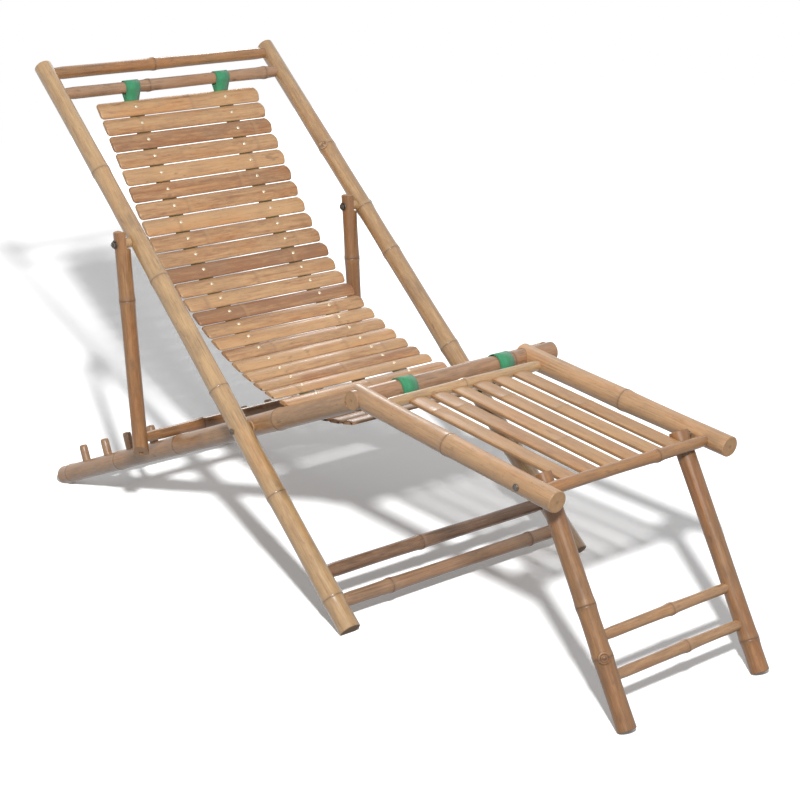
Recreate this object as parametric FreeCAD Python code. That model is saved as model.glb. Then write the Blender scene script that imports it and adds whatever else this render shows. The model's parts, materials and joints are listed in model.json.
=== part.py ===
import FreeCAD, Part
import math
import os

# Bamboo folding recliner, millimetres, +Z up, the sitter faces +X.
# The right-hand side of the sitter is at -Y. Rails are culms that taper and
# carry a ring at each node. The seat frame crosses the long frame at the
# main pivot, the prop frame hangs from the long frame and stands on the seat
# rails, and the footrest hooks over the front bar.

Vec = FreeCAD.Vector

# Long frame: two rails from the floor at the front to the head end
LONG_ANGLE = 44.1
LONG_BELOW_PIVOT = 442
LONG_ABOVE_PIVOT = 938
LONG_HALF_WIDTH = 280
LONG_RADIUS_FOOT = 20.5
LONG_RADIUS_HEAD = 18.5
LONG_FOOT_HEIGHT = 8.6
HEAD_BAR_FROM_TOP = 22
SLING_BAR_FROM_TOP = 80
FOOT_BAR_UPPER = 119
FOOT_BAR_LOWER = 57
HEAD_BAR_RADIUS = 13
FOOT_BAR_RADIUS = 13.5
HEAD_BAR_RINGS = (254,)
SLING_BAR_RINGS = (213, 514)
FOOT_BAR_UPPER_RINGS = (233,)
FOOT_BAR_LOWER_RINGS = (123, 466)

# Seat frame: two rails from the floor at the rear to the front bar
SEAT_ANGLE = 19.2
SEAT_BEHIND_PIVOT = 907
SEAT_AHEAD_OF_PIVOT = 341
SEAT_RIGHT_Y = -237
SEAT_LEFT_Y = 203
SEAT_RADIUS = 21
FRONT_BAR_RADIUS = 18
FRONT_BAR_ENDS = (-255, 215)
SEAT_RAIL_SETBACK = 20
REAR_BAR_FROM_END = 110
REAR_BAR_RADIUS = 12.5

# Pegs that hold the prop bar, from the rear end of each seat rail
PEG_FIRST = 132
PEG_PITCH = 114
PEG_COUNT = 4
PEG_RADIUS = 9.5
PEG_HEIGHT = 36

# Prop frame: hangs from the long rails, its bar stands on the seat rails
PROP_HINGE_ABOVE_PIVOT = 462
PROP_BAR_BEHIND_PIVOT = 338.5
PROP_OFFSET = 36
PROP_RADIUS = 16
PROP_ABOVE_HINGE = 24
PROP_BELOW_BAR = 36
PROP_BAR_RADIUS = 11.5
PROP_LAP_LENGTH = 62
PROP_LAP_FLAT = 8
PROP_RING = 138
CULM_BORE_RADIUS = 8
CULM_BORE_DEPTH = 12

# Footrest: rails hooked over the front bar, and legs folding on side screws
FOOTREST_CENTRE_Y = -38.5
FOOTREST_RAIL_HALF = 193.5
FOOTREST_ANGLE = 8.6
FOOTREST_RAIL_LENGTH = 485
FOOTREST_RAISE = 1.5
FOOTREST_RADIUS_REAR = 20.5
FOOTREST_RADIUS_FRONT = 18
FOOTREST_TONGUE = 15
FOOTREST_TONGUE_UNDERSIDE = 6
FOOTREST_BAR_RADIUS = 10.5
FOOTREST_REAR_BAR = 46
FOOTREST_FRONT_BAR = 444.5
FOOTREST_SLATS = 6
FOOTREST_SLAT_PITCH = 47.5
FOOTREST_SLAT_WIDTH = 29
FOOTREST_SLAT_SHIFT = 2.5
FOOTREST_SLAT_THICKNESS = 8
FOOTREST_SLAT_ROUNDING = 2.5
LEG_HALF = 154
LEG_RADIUS = 16
LEG_ANGLE = 64.3
LEG_SCREW = 412
LEG_ABOVE_SCREW = 10
LEG_FOOT_HEIGHT = 4.5
LEG_BARS = (257, 320)
LEG_BAR_RADIUS = 9.5

# Sling: two webbing straps under bamboo slats, a straight run and one arc
SLING_RUN_ANGLE = 55.3
SLING_ARC_RADIUS = 725.4
SLING_ARC_CENTRE_AHEAD = 136.4
SLING_ARC_CENTRE_HEIGHT = 1086.9
SLAT_FIRST = 49
SLAT_PITCH = 40.25
SLAT_FOLD_GAP = 11
BACK_SLATS = 21
SEAT_SLATS = 6
UPPER_SLATS = 11
UPPER_SLAT_LENGTH = 400
SLAT_LENGTH = 390
SLAT_WIDTH = 37.5
SLAT_CROWN = 8
SLAT_EDGE = 3
SLAT_CORNER = 9
SLAT_DRIFT = 0.75
STRAP_HALF_SPACING = 113
STRAP_WIDTH = 34
STRAP_THICKNESS = 1.5
STRAP_Y_HEAD = 4.75
STRAP_Y_FOLD = -23.25
STRAP_Y_FRONT = -26
STRAP_ENTRY_ANGLE = -112
RIVET_RADIUS = 3.5
RIVET_HEIGHT = 1.4

# Hardware and fits
BOLT_RADIUS = 4
BOLT_HEAD_RADIUS = 9
BOLT_NUT_RADIUS = 8
BOLT_TAIL = 7
SCREW_RADIUS = 3
SCREW_HEAD_RADIUS = 6
SCREW_HEAD_HEIGHT = 2.5
PROP_HEAD_RADIUS = 7
PROP_HEAD_HEIGHT = 3.5
PROP_BOLT_TAIL = 3
NUT_HEIGHT = 5
COLLAR_RADIUS = 10
SPACER_RADIUS = 12
WASHER_RADIUS = 8
WASHER_THICKNESS = 2.5
RUNNING_CLEARANCE = 0.05
GAP = 0.3
TENON = 0.6
DRILL_REACH = 40
BEYOND = 1
ROOM = 4000
RING_HEIGHT = 1.0
RING_WIDTH = 5

# Node rings, by distance from the start of each culm, read from the photograph
LONG_RINGS_RIGHT = (66, 290, 534, 804, 1085)
LONG_RINGS_LEFT = (250, 512, 768, 886, 1068)
SEAT_RINGS_RIGHT = (46, 305, 588, 985)
SEAT_RINGS_LEFT = (180, 430, 700, 1010)
FOOTREST_RINGS_RIGHT = (235,)
FOOTREST_RINGS_LEFT = (250,)
LEG_RINGS_RIGHT = (205, 288)
LEG_RINGS_LEFT = (348,)


# Places worked out from the sizes above, in the X and Z plane
def along(origin, angle, distance, across=0.0):
    """A point (x, z) at a distance along a direction, and a distance square to it."""
    turn = math.radians(angle)
    x = origin[0] + distance * math.cos(turn) - across * math.sin(turn)
    z = origin[1] + distance * math.sin(turn) + across * math.cos(turn)
    return (x, z)


PIVOT = (0.0, LONG_FOOT_HEIGHT + LONG_BELOW_PIVOT * math.sin(math.radians(LONG_ANGLE)))
LONG_UP = 180 - LONG_ANGLE
LONG_FOOT = along(PIVOT, LONG_UP, -LONG_BELOW_PIVOT)
LONG_LENGTH = LONG_BELOW_PIVOT + LONG_ABOVE_PIVOT
SEAT_REAR = along(PIVOT, SEAT_ANGLE, -SEAT_BEHIND_PIVOT)
FRONT_BAR = along(PIVOT, SEAT_ANGLE, SEAT_AHEAD_OF_PIVOT)
HINGE = along(PIVOT, LONG_UP, PROP_HINGE_ABOVE_PIVOT)
PROP_BAR_LIFT = SEAT_RADIUS + PROP_BAR_RADIUS + 2 * GAP
PROP_BAR = along(PIVOT, SEAT_ANGLE, -PROP_BAR_BEHIND_PIVOT, PROP_BAR_LIFT)
PROP_ANGLE = math.degrees(math.atan2(PROP_BAR[1] - HINGE[1], PROP_BAR[0] - HINGE[0]))
FOOTREST_START = (FRONT_BAR[0], FRONT_BAR[1] + FOOTREST_RAISE)
LEG_PIVOT = along(FOOTREST_START, -FOOTREST_ANGLE, LEG_SCREW)
LEG_LENGTH = (LEG_PIVOT[1] - LEG_FOOT_HEIGHT) / math.sin(math.radians(LEG_ANGLE))
ARC_CENTRE = (SLING_ARC_CENTRE_AHEAD, SLING_ARC_CENTRE_HEIGHT)
SLING_BAR = along(LONG_FOOT, LONG_UP, LONG_LENGTH - SLING_BAR_FROM_TOP)
STRAP_LOOP_RADIUS = GAP + STRAP_THICKNESS


# Solids that repeat
def place(point, y):
    return Vec(point[0], y, point[1])


def cone_between(start, end, radius_start, radius_end):
    step = end - start
    if abs(radius_start - radius_end) < 0.01:
        return Part.makeCylinder(radius_start, step.Length, start, step)
    return Part.makeCone(radius_start, radius_end, step.Length, start, step)


def culm(start, end, radius_start, radius_end, rings=()):
    """A tapering cane with a low double cone at each node."""
    length = (end - start).Length
    points = [(0, 0), (radius_start, 0)]
    for ring in rings:
        here = radius_start + (radius_end - radius_start) * ring / length
        points.append((here, ring - RING_WIDTH))
        points.append((here + RING_HEIGHT, ring))
        points.append((here, ring + RING_WIDTH))
    points.append((radius_end, length))
    points.append((0, length))
    points.append((0, 0))
    outline = Part.makePolygon([Vec(x, 0, z) for x, z in points])
    solid = Part.Face(outline).revolve(Vec(0, 0, 0), Vec(0, 0, 1), 360)
    turn = FreeCAD.Rotation(Vec(0, 0, 1), end - start)
    solid.Placement = FreeCAD.Placement(start, turn)
    return solid


def pin(point, y_start, y_end, radius):
    return cone_between(place(point, y_start), place(point, y_end), radius, radius)


def drill(point, y, radius):
    """A cutter right through the culm that lies in the plane at y."""
    return pin(point, y - DRILL_REACH, y + DRILL_REACH, radius)


def hexagon(point, y_start, y_end, across_corners):
    corners = []
    for corner in range(7):
        turn = math.radians(60 * corner)
        x = point[0] + across_corners * math.cos(turn)
        z = point[1] + across_corners * math.sin(turn)
        corners.append(Vec(x, y_start, z))
    face = Part.Face(Part.makePolygon(corners))
    return face.extrude(Vec(0, y_end - y_start, 0))


def above_floor(solid):
    floor = Part.makeBox(ROOM, ROOM, ROOM, Vec(-ROOM / 2, -ROOM / 2, 0))
    return solid.common(floor)


def crossbar(point, y_right, y_left, radius, right_rail, left_rail, rings=()):
    """A bar butted against two rails, with a tenon in each. Returns the bar and the bored rails."""
    body = culm(place(point, y_right), place(point, y_left), radius, radius, rings)
    body = body.cut(right_rail).cut(left_rail)
    body = max(body.Solids, key=lambda solid: solid.Volume)
    tenon = pin(point, y_right, y_left, radius * TENON)
    bar = body.fuse(tenon).removeSplitter()
    return bar, right_rail.cut(tenon), left_rail.cut(tenon)


def long_rail(y, rings):
    end = along(LONG_FOOT, LONG_UP, LONG_LENGTH)
    rail = culm(place(LONG_FOOT, y), place(end, y), LONG_RADIUS_FOOT, LONG_RADIUS_HEAD, rings)
    rail = above_floor(rail)
    rail = rail.cut(drill(PIVOT, y, BOLT_RADIUS + RUNNING_CLEARANCE))
    return rail.cut(drill(HINGE, y, SCREW_RADIUS))


def long_bars(right, left):
    stations = {
        "head_bar": (LONG_LENGTH - HEAD_BAR_FROM_TOP, HEAD_BAR_RADIUS, HEAD_BAR_RINGS),
        "sling_bar": (LONG_LENGTH - SLING_BAR_FROM_TOP, HEAD_BAR_RADIUS, SLING_BAR_RINGS),
        "foot_bar_upper": (FOOT_BAR_UPPER, FOOT_BAR_RADIUS, FOOT_BAR_UPPER_RINGS),
        "foot_bar_lower": (FOOT_BAR_LOWER, FOOT_BAR_RADIUS, FOOT_BAR_LOWER_RINGS),
    }
    bars = {}
    for name, (station, radius, rings) in stations.items():
        point = along(LONG_FOOT, LONG_UP, station)
        bar, right, left = crossbar(point, -LONG_HALF_WIDTH, LONG_HALF_WIDTH, radius, right, left, rings)
        bars[name] = bar
    return bars, right, left


def seat_rail(y, rings):
    length = SEAT_BEHIND_PIVOT + SEAT_AHEAD_OF_PIVOT - SEAT_RAIL_SETBACK
    end = along(SEAT_REAR, SEAT_ANGLE, length)
    rail = culm(place(SEAT_REAR, y), place(end, y), SEAT_RADIUS, SEAT_RADIUS, rings)
    rail = above_floor(rail)
    rail = rail.cut(drill(PIVOT, y, BOLT_RADIUS))
    tenon = cone_between(place(end, y), place(FRONT_BAR, y), SEAT_RADIUS * TENON, SEAT_RADIUS * TENON)
    for peg in pegs(y):
        rail = rail.cut(peg)
    return rail.fuse(tenon).removeSplitter()


def pegs(y):
    """Upright dowels, driven to the middle of the rail."""
    dowels = []
    for number in range(PEG_COUNT):
        base = along(SEAT_REAR, SEAT_ANGLE, PEG_FIRST + number * PEG_PITCH)
        top = along(base, SEAT_ANGLE, 0, SEAT_RADIUS + PEG_HEIGHT)
        dowels.append(cone_between(place(base, y), place(top, y), PEG_RADIUS, PEG_RADIUS))
    return dowels


def prop(y):
    """A hanging prop: its top is halved on the rail side and shows the hollow of the culm."""
    top = along(HINGE, PROP_ANGLE, -PROP_ABOVE_HINGE)
    foot = along(PROP_BAR, PROP_ANGLE, PROP_BELOW_BAR)
    body = culm(place(top, y), place(foot, y), PROP_RADIUS, PROP_RADIUS, (PROP_RING,))
    depth = PROP_RADIUS * 2
    half = Part.makeBox(PROP_LAP_LENGTH + BEYOND, depth, depth * 2, Vec(-BEYOND, PROP_LAP_FLAT, -depth))
    half.Placement = FreeCAD.Placement(place(top, y), FreeCAD.Rotation(Vec(0, -1, 0), PROP_ANGLE))
    bore_end = along(top, PROP_ANGLE, PROP_LAP_LENGTH + CULM_BORE_DEPTH)
    bore_start = along(top, PROP_ANGLE, PROP_LAP_LENGTH - BEYOND)
    bore = cone_between(place(bore_start, y), place(bore_end, y), CULM_BORE_RADIUS, CULM_BORE_RADIUS)
    body = body.cut(half).cut(bore)
    return body.cut(drill(HINGE, y, SCREW_RADIUS + RUNNING_CLEARANCE))


def prop_bolt(rail_y, prop_y):
    """A bolt through the rail and the prop, a nut at the outer end and a bamboo collar between."""
    head_start = rail_y + LONG_RADIUS_FOOT + GAP
    nut_end = prop_y - PROP_RADIUS - GAP - NUT_HEIGHT
    shank = pin(HINGE, nut_end - PROP_BOLT_TAIL, head_start + BEYOND, SCREW_RADIUS)
    head = pin(HINGE, head_start, head_start + PROP_HEAD_HEIGHT, PROP_HEAD_RADIUS)
    nut = hexagon(HINGE, nut_end, nut_end + NUT_HEIGHT, PROP_HEAD_RADIUS)
    return shank.fuse(head).fuse(nut).removeSplitter()


def prop_collar(rail_y, prop_y):
    start = prop_y + PROP_LAP_FLAT + GAP
    end = rail_y - LONG_RADIUS_FOOT
    ring = pin(HINGE, start, end, COLLAR_RADIUS)
    return ring.cut(pin(HINGE, start - BEYOND, end + BEYOND, SCREW_RADIUS))


def pivot_bolt(rail_y, seat_y):
    """The main pivot bolt: fixed in the seat rail, running in the long rail."""
    side = 1 if rail_y > seat_y else -1
    head = rail_y + side * (LONG_RADIUS_FOOT + GAP)
    tail = seat_y - side * (SEAT_RADIUS + BOLT_TAIL)
    nut = seat_y - side * (SEAT_RADIUS + GAP)
    shank = pin(PIVOT, tail, head + side * BEYOND, BOLT_RADIUS)
    cap = pin(PIVOT, head, head + side * NUT_HEIGHT, BOLT_HEAD_RADIUS)
    hexed = hexagon(PIVOT, nut, nut - side * NUT_HEIGHT, BOLT_NUT_RADIUS)
    return shank.fuse(cap).fuse(hexed).removeSplitter()


def pivot_spacer(rail_y, seat_y):
    side = 1 if rail_y > seat_y else -1
    start = seat_y + side * SEAT_RADIUS
    end = rail_y - side * (LONG_RADIUS_FOOT + GAP)
    ring = pin(PIVOT, start, end, SPACER_RADIUS)
    return ring.cut(pin(PIVOT, start - side * BEYOND, end + side * BEYOND, BOLT_RADIUS))


def front_bar():
    right, left = FRONT_BAR_ENDS
    return culm(place(FRONT_BAR, right), place(FRONT_BAR, left), FRONT_BAR_RADIUS, FRONT_BAR_RADIUS)


def footrest_rail(y, rings):
    """A rail whose rear end is hollowed to sit over the front bar."""
    start = along(FOOTREST_START, -FOOTREST_ANGLE, -FOOTREST_TONGUE)
    end = along(FOOTREST_START, -FOOTREST_ANGLE, FOOTREST_RAIL_LENGTH)
    rings = [ring + FOOTREST_TONGUE for ring in rings]
    rail = culm(place(start, y), place(end, y), FOOTREST_RADIUS_REAR, FOOTREST_RADIUS_FRONT, rings)
    seat = FRONT_BAR_RADIUS + GAP
    reach = 2 * DRILL_REACH
    side = y - DRILL_REACH
    underside = FRONT_BAR[1] + FOOTREST_TONGUE_UNDERSIDE
    saddle = drill(FRONT_BAR, y, seat)
    slot = Part.makeBox(2 * seat, reach, reach, Vec(FRONT_BAR[0] - seat, side, FRONT_BAR[1] - reach))
    rear = Part.makeBox(reach, reach, reach, Vec(FRONT_BAR[0] - reach, side, underside - reach))
    rail = rail.cut(saddle).cut(slot).cut(rear)
    rail = max(rail.Solids, key=lambda solid: solid.Volume)
    return rail.cut(drill(LEG_PIVOT, y, SCREW_RADIUS))


def footrest_slats(rear_bar, front_bar_solid):
    """Boards let into the sides of the two footrest bars."""
    boards = []
    start = along(FOOTREST_START, -FOOTREST_ANGLE, FOOTREST_REAR_BAR)
    length = FOOTREST_FRONT_BAR - FOOTREST_REAR_BAR
    middle = (FOOTREST_SLATS - 1) / 2
    turn = FreeCAD.Rotation(Vec(0, 1, 0), FOOTREST_ANGLE)
    for number in range(FOOTREST_SLATS):
        y = FOOTREST_CENTRE_Y + FOOTREST_SLAT_SHIFT + (number - middle) * FOOTREST_SLAT_PITCH
        corner = Vec(0, -FOOTREST_SLAT_WIDTH / 2, -FOOTREST_SLAT_THICKNESS / 2)
        board = Part.makeBox(length, FOOTREST_SLAT_WIDTH, FOOTREST_SLAT_THICKNESS, corner)
        long_edges = [edge for edge in board.Edges if edge.Length > length - BEYOND]
        board = board.makeFillet(FOOTREST_SLAT_ROUNDING, long_edges)
        board.Placement = FreeCAD.Placement(place(start, y), turn)
        board = board.cut(rear_bar).cut(front_bar_solid)
        boards.append(max(board.Solids, key=lambda solid: solid.Volume))
    return Part.makeCompound(boards)


def leg(y, rings):
    top = along(LEG_PIVOT, -LEG_ANGLE, -LEG_ABOVE_SCREW)
    foot = along(LEG_PIVOT, -LEG_ANGLE, LEG_LENGTH)
    rings = [ring + LEG_ABOVE_SCREW for ring in rings]
    body = above_floor(culm(place(top, y), place(foot, y), LEG_RADIUS, LEG_RADIUS, rings))
    return body.cut(drill(LEG_PIVOT, y, SCREW_RADIUS + RUNNING_CLEARANCE))


def leg_screw(rail_y, leg_y):
    """A screw through the footrest rail into the leg, with a washer between the two."""
    side = 1 if rail_y > leg_y else -1
    head = rail_y + side * (FOOTREST_RADIUS_REAR - 2)
    tail = leg_y - side * (LEG_RADIUS - 2)
    washer = leg_y + side * (LEG_RADIUS + GAP)
    shank = pin(LEG_PIVOT, tail, head + side * BEYOND, SCREW_RADIUS)
    cap = pin(LEG_PIVOT, head, head + side * SCREW_HEAD_HEIGHT, SCREW_HEAD_RADIUS)
    ring = pin(LEG_PIVOT, washer, washer + side * WASHER_THICKNESS, WASHER_RADIUS)
    return shank.fuse(cap).fuse(ring).removeSplitter()


# The sling: straight behind the sitter's back, then one arc under the seat
def sling_point(station, depth=0.0):
    """Point (x, z) on the slats' crowns at a station, or a depth below them, and the slope there."""
    run_end = along(ARC_CENTRE, -90 - SLING_RUN_ANGLE, SLING_ARC_RADIUS)
    start_along = sling_run_length()
    if station < start_along:
        point = along(run_end, -SLING_RUN_ANGLE, station - start_along, -depth)
        return point, -SLING_RUN_ANGLE
    slope = math.degrees((station - start_along) / SLING_ARC_RADIUS) - SLING_RUN_ANGLE
    return along(ARC_CENTRE, slope - 90, SLING_ARC_RADIUS + depth), slope


def sling_run_length():
    """Length of the straight run, from the level of the sling bar to the start of the arc."""
    run_end = along(ARC_CENTRE, -90 - SLING_RUN_ANGLE, SLING_ARC_RADIUS)
    drop = SLING_BAR[1] - run_end[1]
    return drop / math.sin(math.radians(SLING_RUN_ANGLE))


def slat_station(number):
    """Station of a slat, counted from the head, with a wider gap where seat and back fold."""
    station = SLAT_FIRST + (number - 1) * SLAT_PITCH
    if number > BACK_SLATS:
        station += SLAT_FOLD_GAP - (SLAT_PITCH - SLAT_WIDTH)
    return station


def strap_y(x, side):
    """The straps run slightly askew, from the sling bar to the fold and on to the front bar."""
    fold = sling_point(fold_station(), SLAT_CROWN)[0][0]
    if x < fold:
        share = (x - SLING_BAR[0]) / (fold - SLING_BAR[0])
        y = STRAP_Y_HEAD + share * (STRAP_Y_FOLD - STRAP_Y_HEAD)
    else:
        share = (x - fold) / (FRONT_BAR[0] - fold)
        y = STRAP_Y_FOLD + share * (STRAP_Y_FRONT - STRAP_Y_FOLD)
    return y + side * STRAP_HALF_SPACING


def slat_length(number):
    """Slats that come between the seat rails, in use or folded, are a little shorter."""
    return UPPER_SLAT_LENGTH if number <= UPPER_SLATS else SLAT_LENGTH


def slat(number):
    length = slat_length(number)
    point, slope = sling_point(slat_station(number), SLAT_CROWN)
    half = SLAT_WIDTH / 2
    left = Vec(-half, 0, SLAT_EDGE)
    top = Vec(0, 0, SLAT_CROWN)
    right = Vec(half, 0, SLAT_EDGE)
    crown = Part.Arc(left, top, right).toShape()
    bottom = Part.makePolygon([right, Vec(half, 0, 0), Vec(-half, 0, 0), left])
    face = Part.Face(Part.Wire([crown] + bottom.Edges))
    board = face.extrude(Vec(0, length, 0))
    board.translate(Vec(0, -length / 2, 0))
    board = board.common(slat_plan(length))
    y = SLAT_DRIFT * strap_y(point[0], 0)
    turn = FreeCAD.Rotation(Vec(0, 1, 0), -slope)
    board.Placement = FreeCAD.Placement(place(point, y), turn)
    return board


def slat_plan(length):
    """Outline of a slat seen from above, with its corners cut off."""
    half = SLAT_WIDTH / 2
    end = length / 2
    inner = end - SLAT_CORNER
    narrow = half - SLAT_CORNER
    quarter = [(half, inner), (narrow, end), (-narrow, end), (-half, inner)]
    plan = quarter + [(-x, -y) for x, y in quarter]
    corners = [Vec(x, y, -BEYOND) for x, y in plan + plan[:1]]
    return Part.Face(Part.makePolygon(corners)).extrude(Vec(0, 0, SLAT_CROWN + 2 * BEYOND))


def rivet(number, side):
    point, slope = sling_point(slat_station(number))
    sunk = along(point, slope + 90, -RIVET_HEIGHT)
    head = along(point, slope + 90, RIVET_HEIGHT)
    y = strap_y(point[0], side)
    return cone_between(place(sunk, y), place(head, y), RIVET_RADIUS, RIVET_RADIUS)


def strap_bed(number):
    """The two ends of the flat stretch of webbing that lies under a slat."""
    point, slope = sling_point(slat_station(number), SLAT_CROWN)
    half = SLAT_WIDTH / 2
    return [along(point, slope, -half), along(point, slope, half)]


def strap(path, side):
    """One strap along a path of points, one webbing thickness deep."""
    upper = []
    lower = []
    for number, point in enumerate(path):
        before = path[max(number - 1, 0)]
        after = path[min(number + 1, len(path) - 1)]
        slope = math.degrees(math.atan2(after[1] - before[1], after[0] - before[0]))
        upper.append(point)
        lower.append(along(point, slope, 0, -STRAP_THICKNESS))
    outline = upper + lower[::-1] + upper[:1]
    corners = [Vec(x, strap_y(x, side) - STRAP_WIDTH / 2, z) for x, z in outline]
    return Part.Face(Part.makePolygon(corners)).extrude(Vec(0, STRAP_WIDTH, 0))


def strap_loop(centre, bar_radius, side):
    """The loop of webbing round a bar."""
    y = strap_y(centre[0], side) - STRAP_WIDTH / 2
    outer = pin(centre, y, y + STRAP_WIDTH, bar_radius + STRAP_LOOP_RADIUS)
    return outer.cut(pin(centre, y - BEYOND, y + STRAP_WIDTH + BEYOND, bar_radius + GAP))


def fold_station():
    """Middle of the gap between the last back slat and the first seat slat."""
    return (slat_station(BACK_SLATS) + slat_station(BACK_SLATS + 1)) / 2


def beds(numbers):
    return [point for number in numbers for point in strap_bed(number)]


def back_straps():
    """Loops round the sling bar, and straps from there to the fold."""
    path = beds(range(1, BACK_SLATS + 1))
    first = path[0]
    reach = math.hypot(first[0] - SLING_BAR[0], first[1] - SLING_BAR[1])
    share = (HEAD_BAR_RADIUS + STRAP_LOOP_RADIUS + GAP) / reach
    x = SLING_BAR[0] + (first[0] - SLING_BAR[0]) * share
    z = SLING_BAR[1] + (first[1] - SLING_BAR[1]) * share
    path = [(x, z)] + path + [sling_point(fold_station() - GAP, SLAT_CROWN)[0]]
    solids = [strap(path, side) for side in (-1, 1)]
    solids.extend(strap_loop(SLING_BAR, HEAD_BAR_RADIUS, side) for side in (-1, 1))
    return Part.makeCompound(solids)


def seat_straps():
    """The seat's straps end just short of the loops on the front bar."""
    path = beds(range(BACK_SLATS + 1, BACK_SLATS + SEAT_SLATS + 1))
    start = sling_point(fold_station() + GAP, SLAT_CROWN)[0]
    ring = FRONT_BAR_RADIUS + STRAP_LOOP_RADIUS + BEYOND
    path = [start] + path + [along(FRONT_BAR, STRAP_ENTRY_ANGLE, ring)]
    solids = [strap(path, side) for side in (-1, 1)]
    return Part.makeCompound(solids)


def front_loops():
    solids = [strap_loop(FRONT_BAR, FRONT_BAR_RADIUS, side) for side in (-1, 1)]
    return Part.makeCompound(solids)


def rivets(numbers):
    heads = [rivet(number, side) for number in numbers for side in (-1, 1)]
    return Part.makeCompound(heads)


def bored_for_rivets(board, number):
    for side in (-1, 1):
        board = board.cut(rivet(number, side))
    return board


# All pieces, by node name
def build():
    nodes = {}
    right = long_rail(-LONG_HALF_WIDTH, LONG_RINGS_RIGHT)
    left = long_rail(LONG_HALF_WIDTH, LONG_RINGS_LEFT)
    bars, right, left = long_bars(right, left)
    nodes["long_rail_right"] = right
    nodes["long_rail_left"] = left
    nodes.update(bars)

    back = range(1, BACK_SLATS + 1)
    seat = range(BACK_SLATS + 1, BACK_SLATS + SEAT_SLATS + 1)
    for number in back:
        nodes["back_slat_%02d" % number] = bored_for_rivets(slat(number), number)
    for number in seat:
        nodes["seat_slat_%02d" % number] = bored_for_rivets(slat(number), number)
    nodes["back_straps"] = back_straps()
    nodes["back_rivets"] = rivets(back)
    nodes["seat_straps"] = seat_straps()
    nodes["seat_rivets"] = rivets(seat)

    right = seat_rail(SEAT_RIGHT_Y, SEAT_RINGS_RIGHT)
    left = seat_rail(SEAT_LEFT_Y, SEAT_RINGS_LEFT)
    rear = along(SEAT_REAR, SEAT_ANGLE, REAR_BAR_FROM_END)
    bar, right, left = crossbar(rear, SEAT_RIGHT_Y, SEAT_LEFT_Y, REAR_BAR_RADIUS, right, left)
    nodes["rear_bar"] = bar
    nodes["seat_rail_right"] = right
    nodes["seat_rail_left"] = left
    nodes["front_bar"] = front_bar().cut(right).cut(left)
    nodes["front_loops"] = front_loops()
    nodes["rail_pegs"] = Part.makeCompound(pegs(SEAT_RIGHT_Y) + pegs(SEAT_LEFT_Y))
    pairs = ((-LONG_HALF_WIDTH, SEAT_RIGHT_Y), (LONG_HALF_WIDTH, SEAT_LEFT_Y))
    nodes["pivot_bolts"] = Part.makeCompound([pivot_bolt(rail, seat_y) for rail, seat_y in pairs])
    nodes["pivot_spacers"] = Part.makeCompound([pivot_spacer(rail, seat_y) for rail, seat_y in pairs])

    prop_right_y = -LONG_HALF_WIDTH - PROP_OFFSET
    prop_left_y = LONG_HALF_WIDTH - PROP_OFFSET
    right = prop(prop_right_y)
    left = prop(prop_left_y)
    bar, right, left = crossbar(PROP_BAR, prop_right_y, prop_left_y, PROP_BAR_RADIUS, right, left)
    nodes["prop_bar"] = bar
    nodes["prop_right"] = right
    nodes["prop_left"] = left
    pairs = ((-LONG_HALF_WIDTH, prop_right_y), (LONG_HALF_WIDTH, prop_left_y))
    nodes["prop_bolts"] = Part.makeCompound([prop_bolt(rail, y) for rail, y in pairs])
    nodes["prop_collars"] = Part.makeCompound([prop_collar(rail, y) for rail, y in pairs])

    rail_y = (FOOTREST_CENTRE_Y - FOOTREST_RAIL_HALF, FOOTREST_CENTRE_Y + FOOTREST_RAIL_HALF)
    right = footrest_rail(rail_y[0], FOOTREST_RINGS_RIGHT)
    left = footrest_rail(rail_y[1], FOOTREST_RINGS_LEFT)
    rear = along(FOOTREST_START, -FOOTREST_ANGLE, FOOTREST_REAR_BAR)
    front = along(FOOTREST_START, -FOOTREST_ANGLE, FOOTREST_FRONT_BAR)
    rear_solid, right, left = crossbar(rear, rail_y[0], rail_y[1], FOOTREST_BAR_RADIUS, right, left)
    front_solid, right, left = crossbar(front, rail_y[0], rail_y[1], FOOTREST_BAR_RADIUS, right, left)
    nodes["footrest_rear_bar"] = rear_solid
    nodes["footrest_front_bar"] = front_solid
    nodes["footrest_rail_right"] = right
    nodes["footrest_rail_left"] = left
    nodes["footrest_slats"] = footrest_slats(rear_solid, front_solid)

    leg_y = (FOOTREST_CENTRE_Y - LEG_HALF, FOOTREST_CENTRE_Y + LEG_HALF)
    nodes["leg_screws"] = Part.makeCompound([leg_screw(rail_y[side], leg_y[side]) for side in (0, 1)])
    right = leg(leg_y[0], LEG_RINGS_RIGHT)
    left = leg(leg_y[1], LEG_RINGS_LEFT)
    for name, distance in zip(("leg_bar_upper", "leg_bar_lower"), LEG_BARS):
        point = along(LEG_PIVOT, -LEG_ANGLE, distance)
        bar, right, left = crossbar(point, leg_y[0], leg_y[1], LEG_BAR_RADIUS, right, left)
        nodes[name] = bar
    nodes["leg_right"] = right
    nodes["leg_left"] = left
    return nodes


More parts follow.
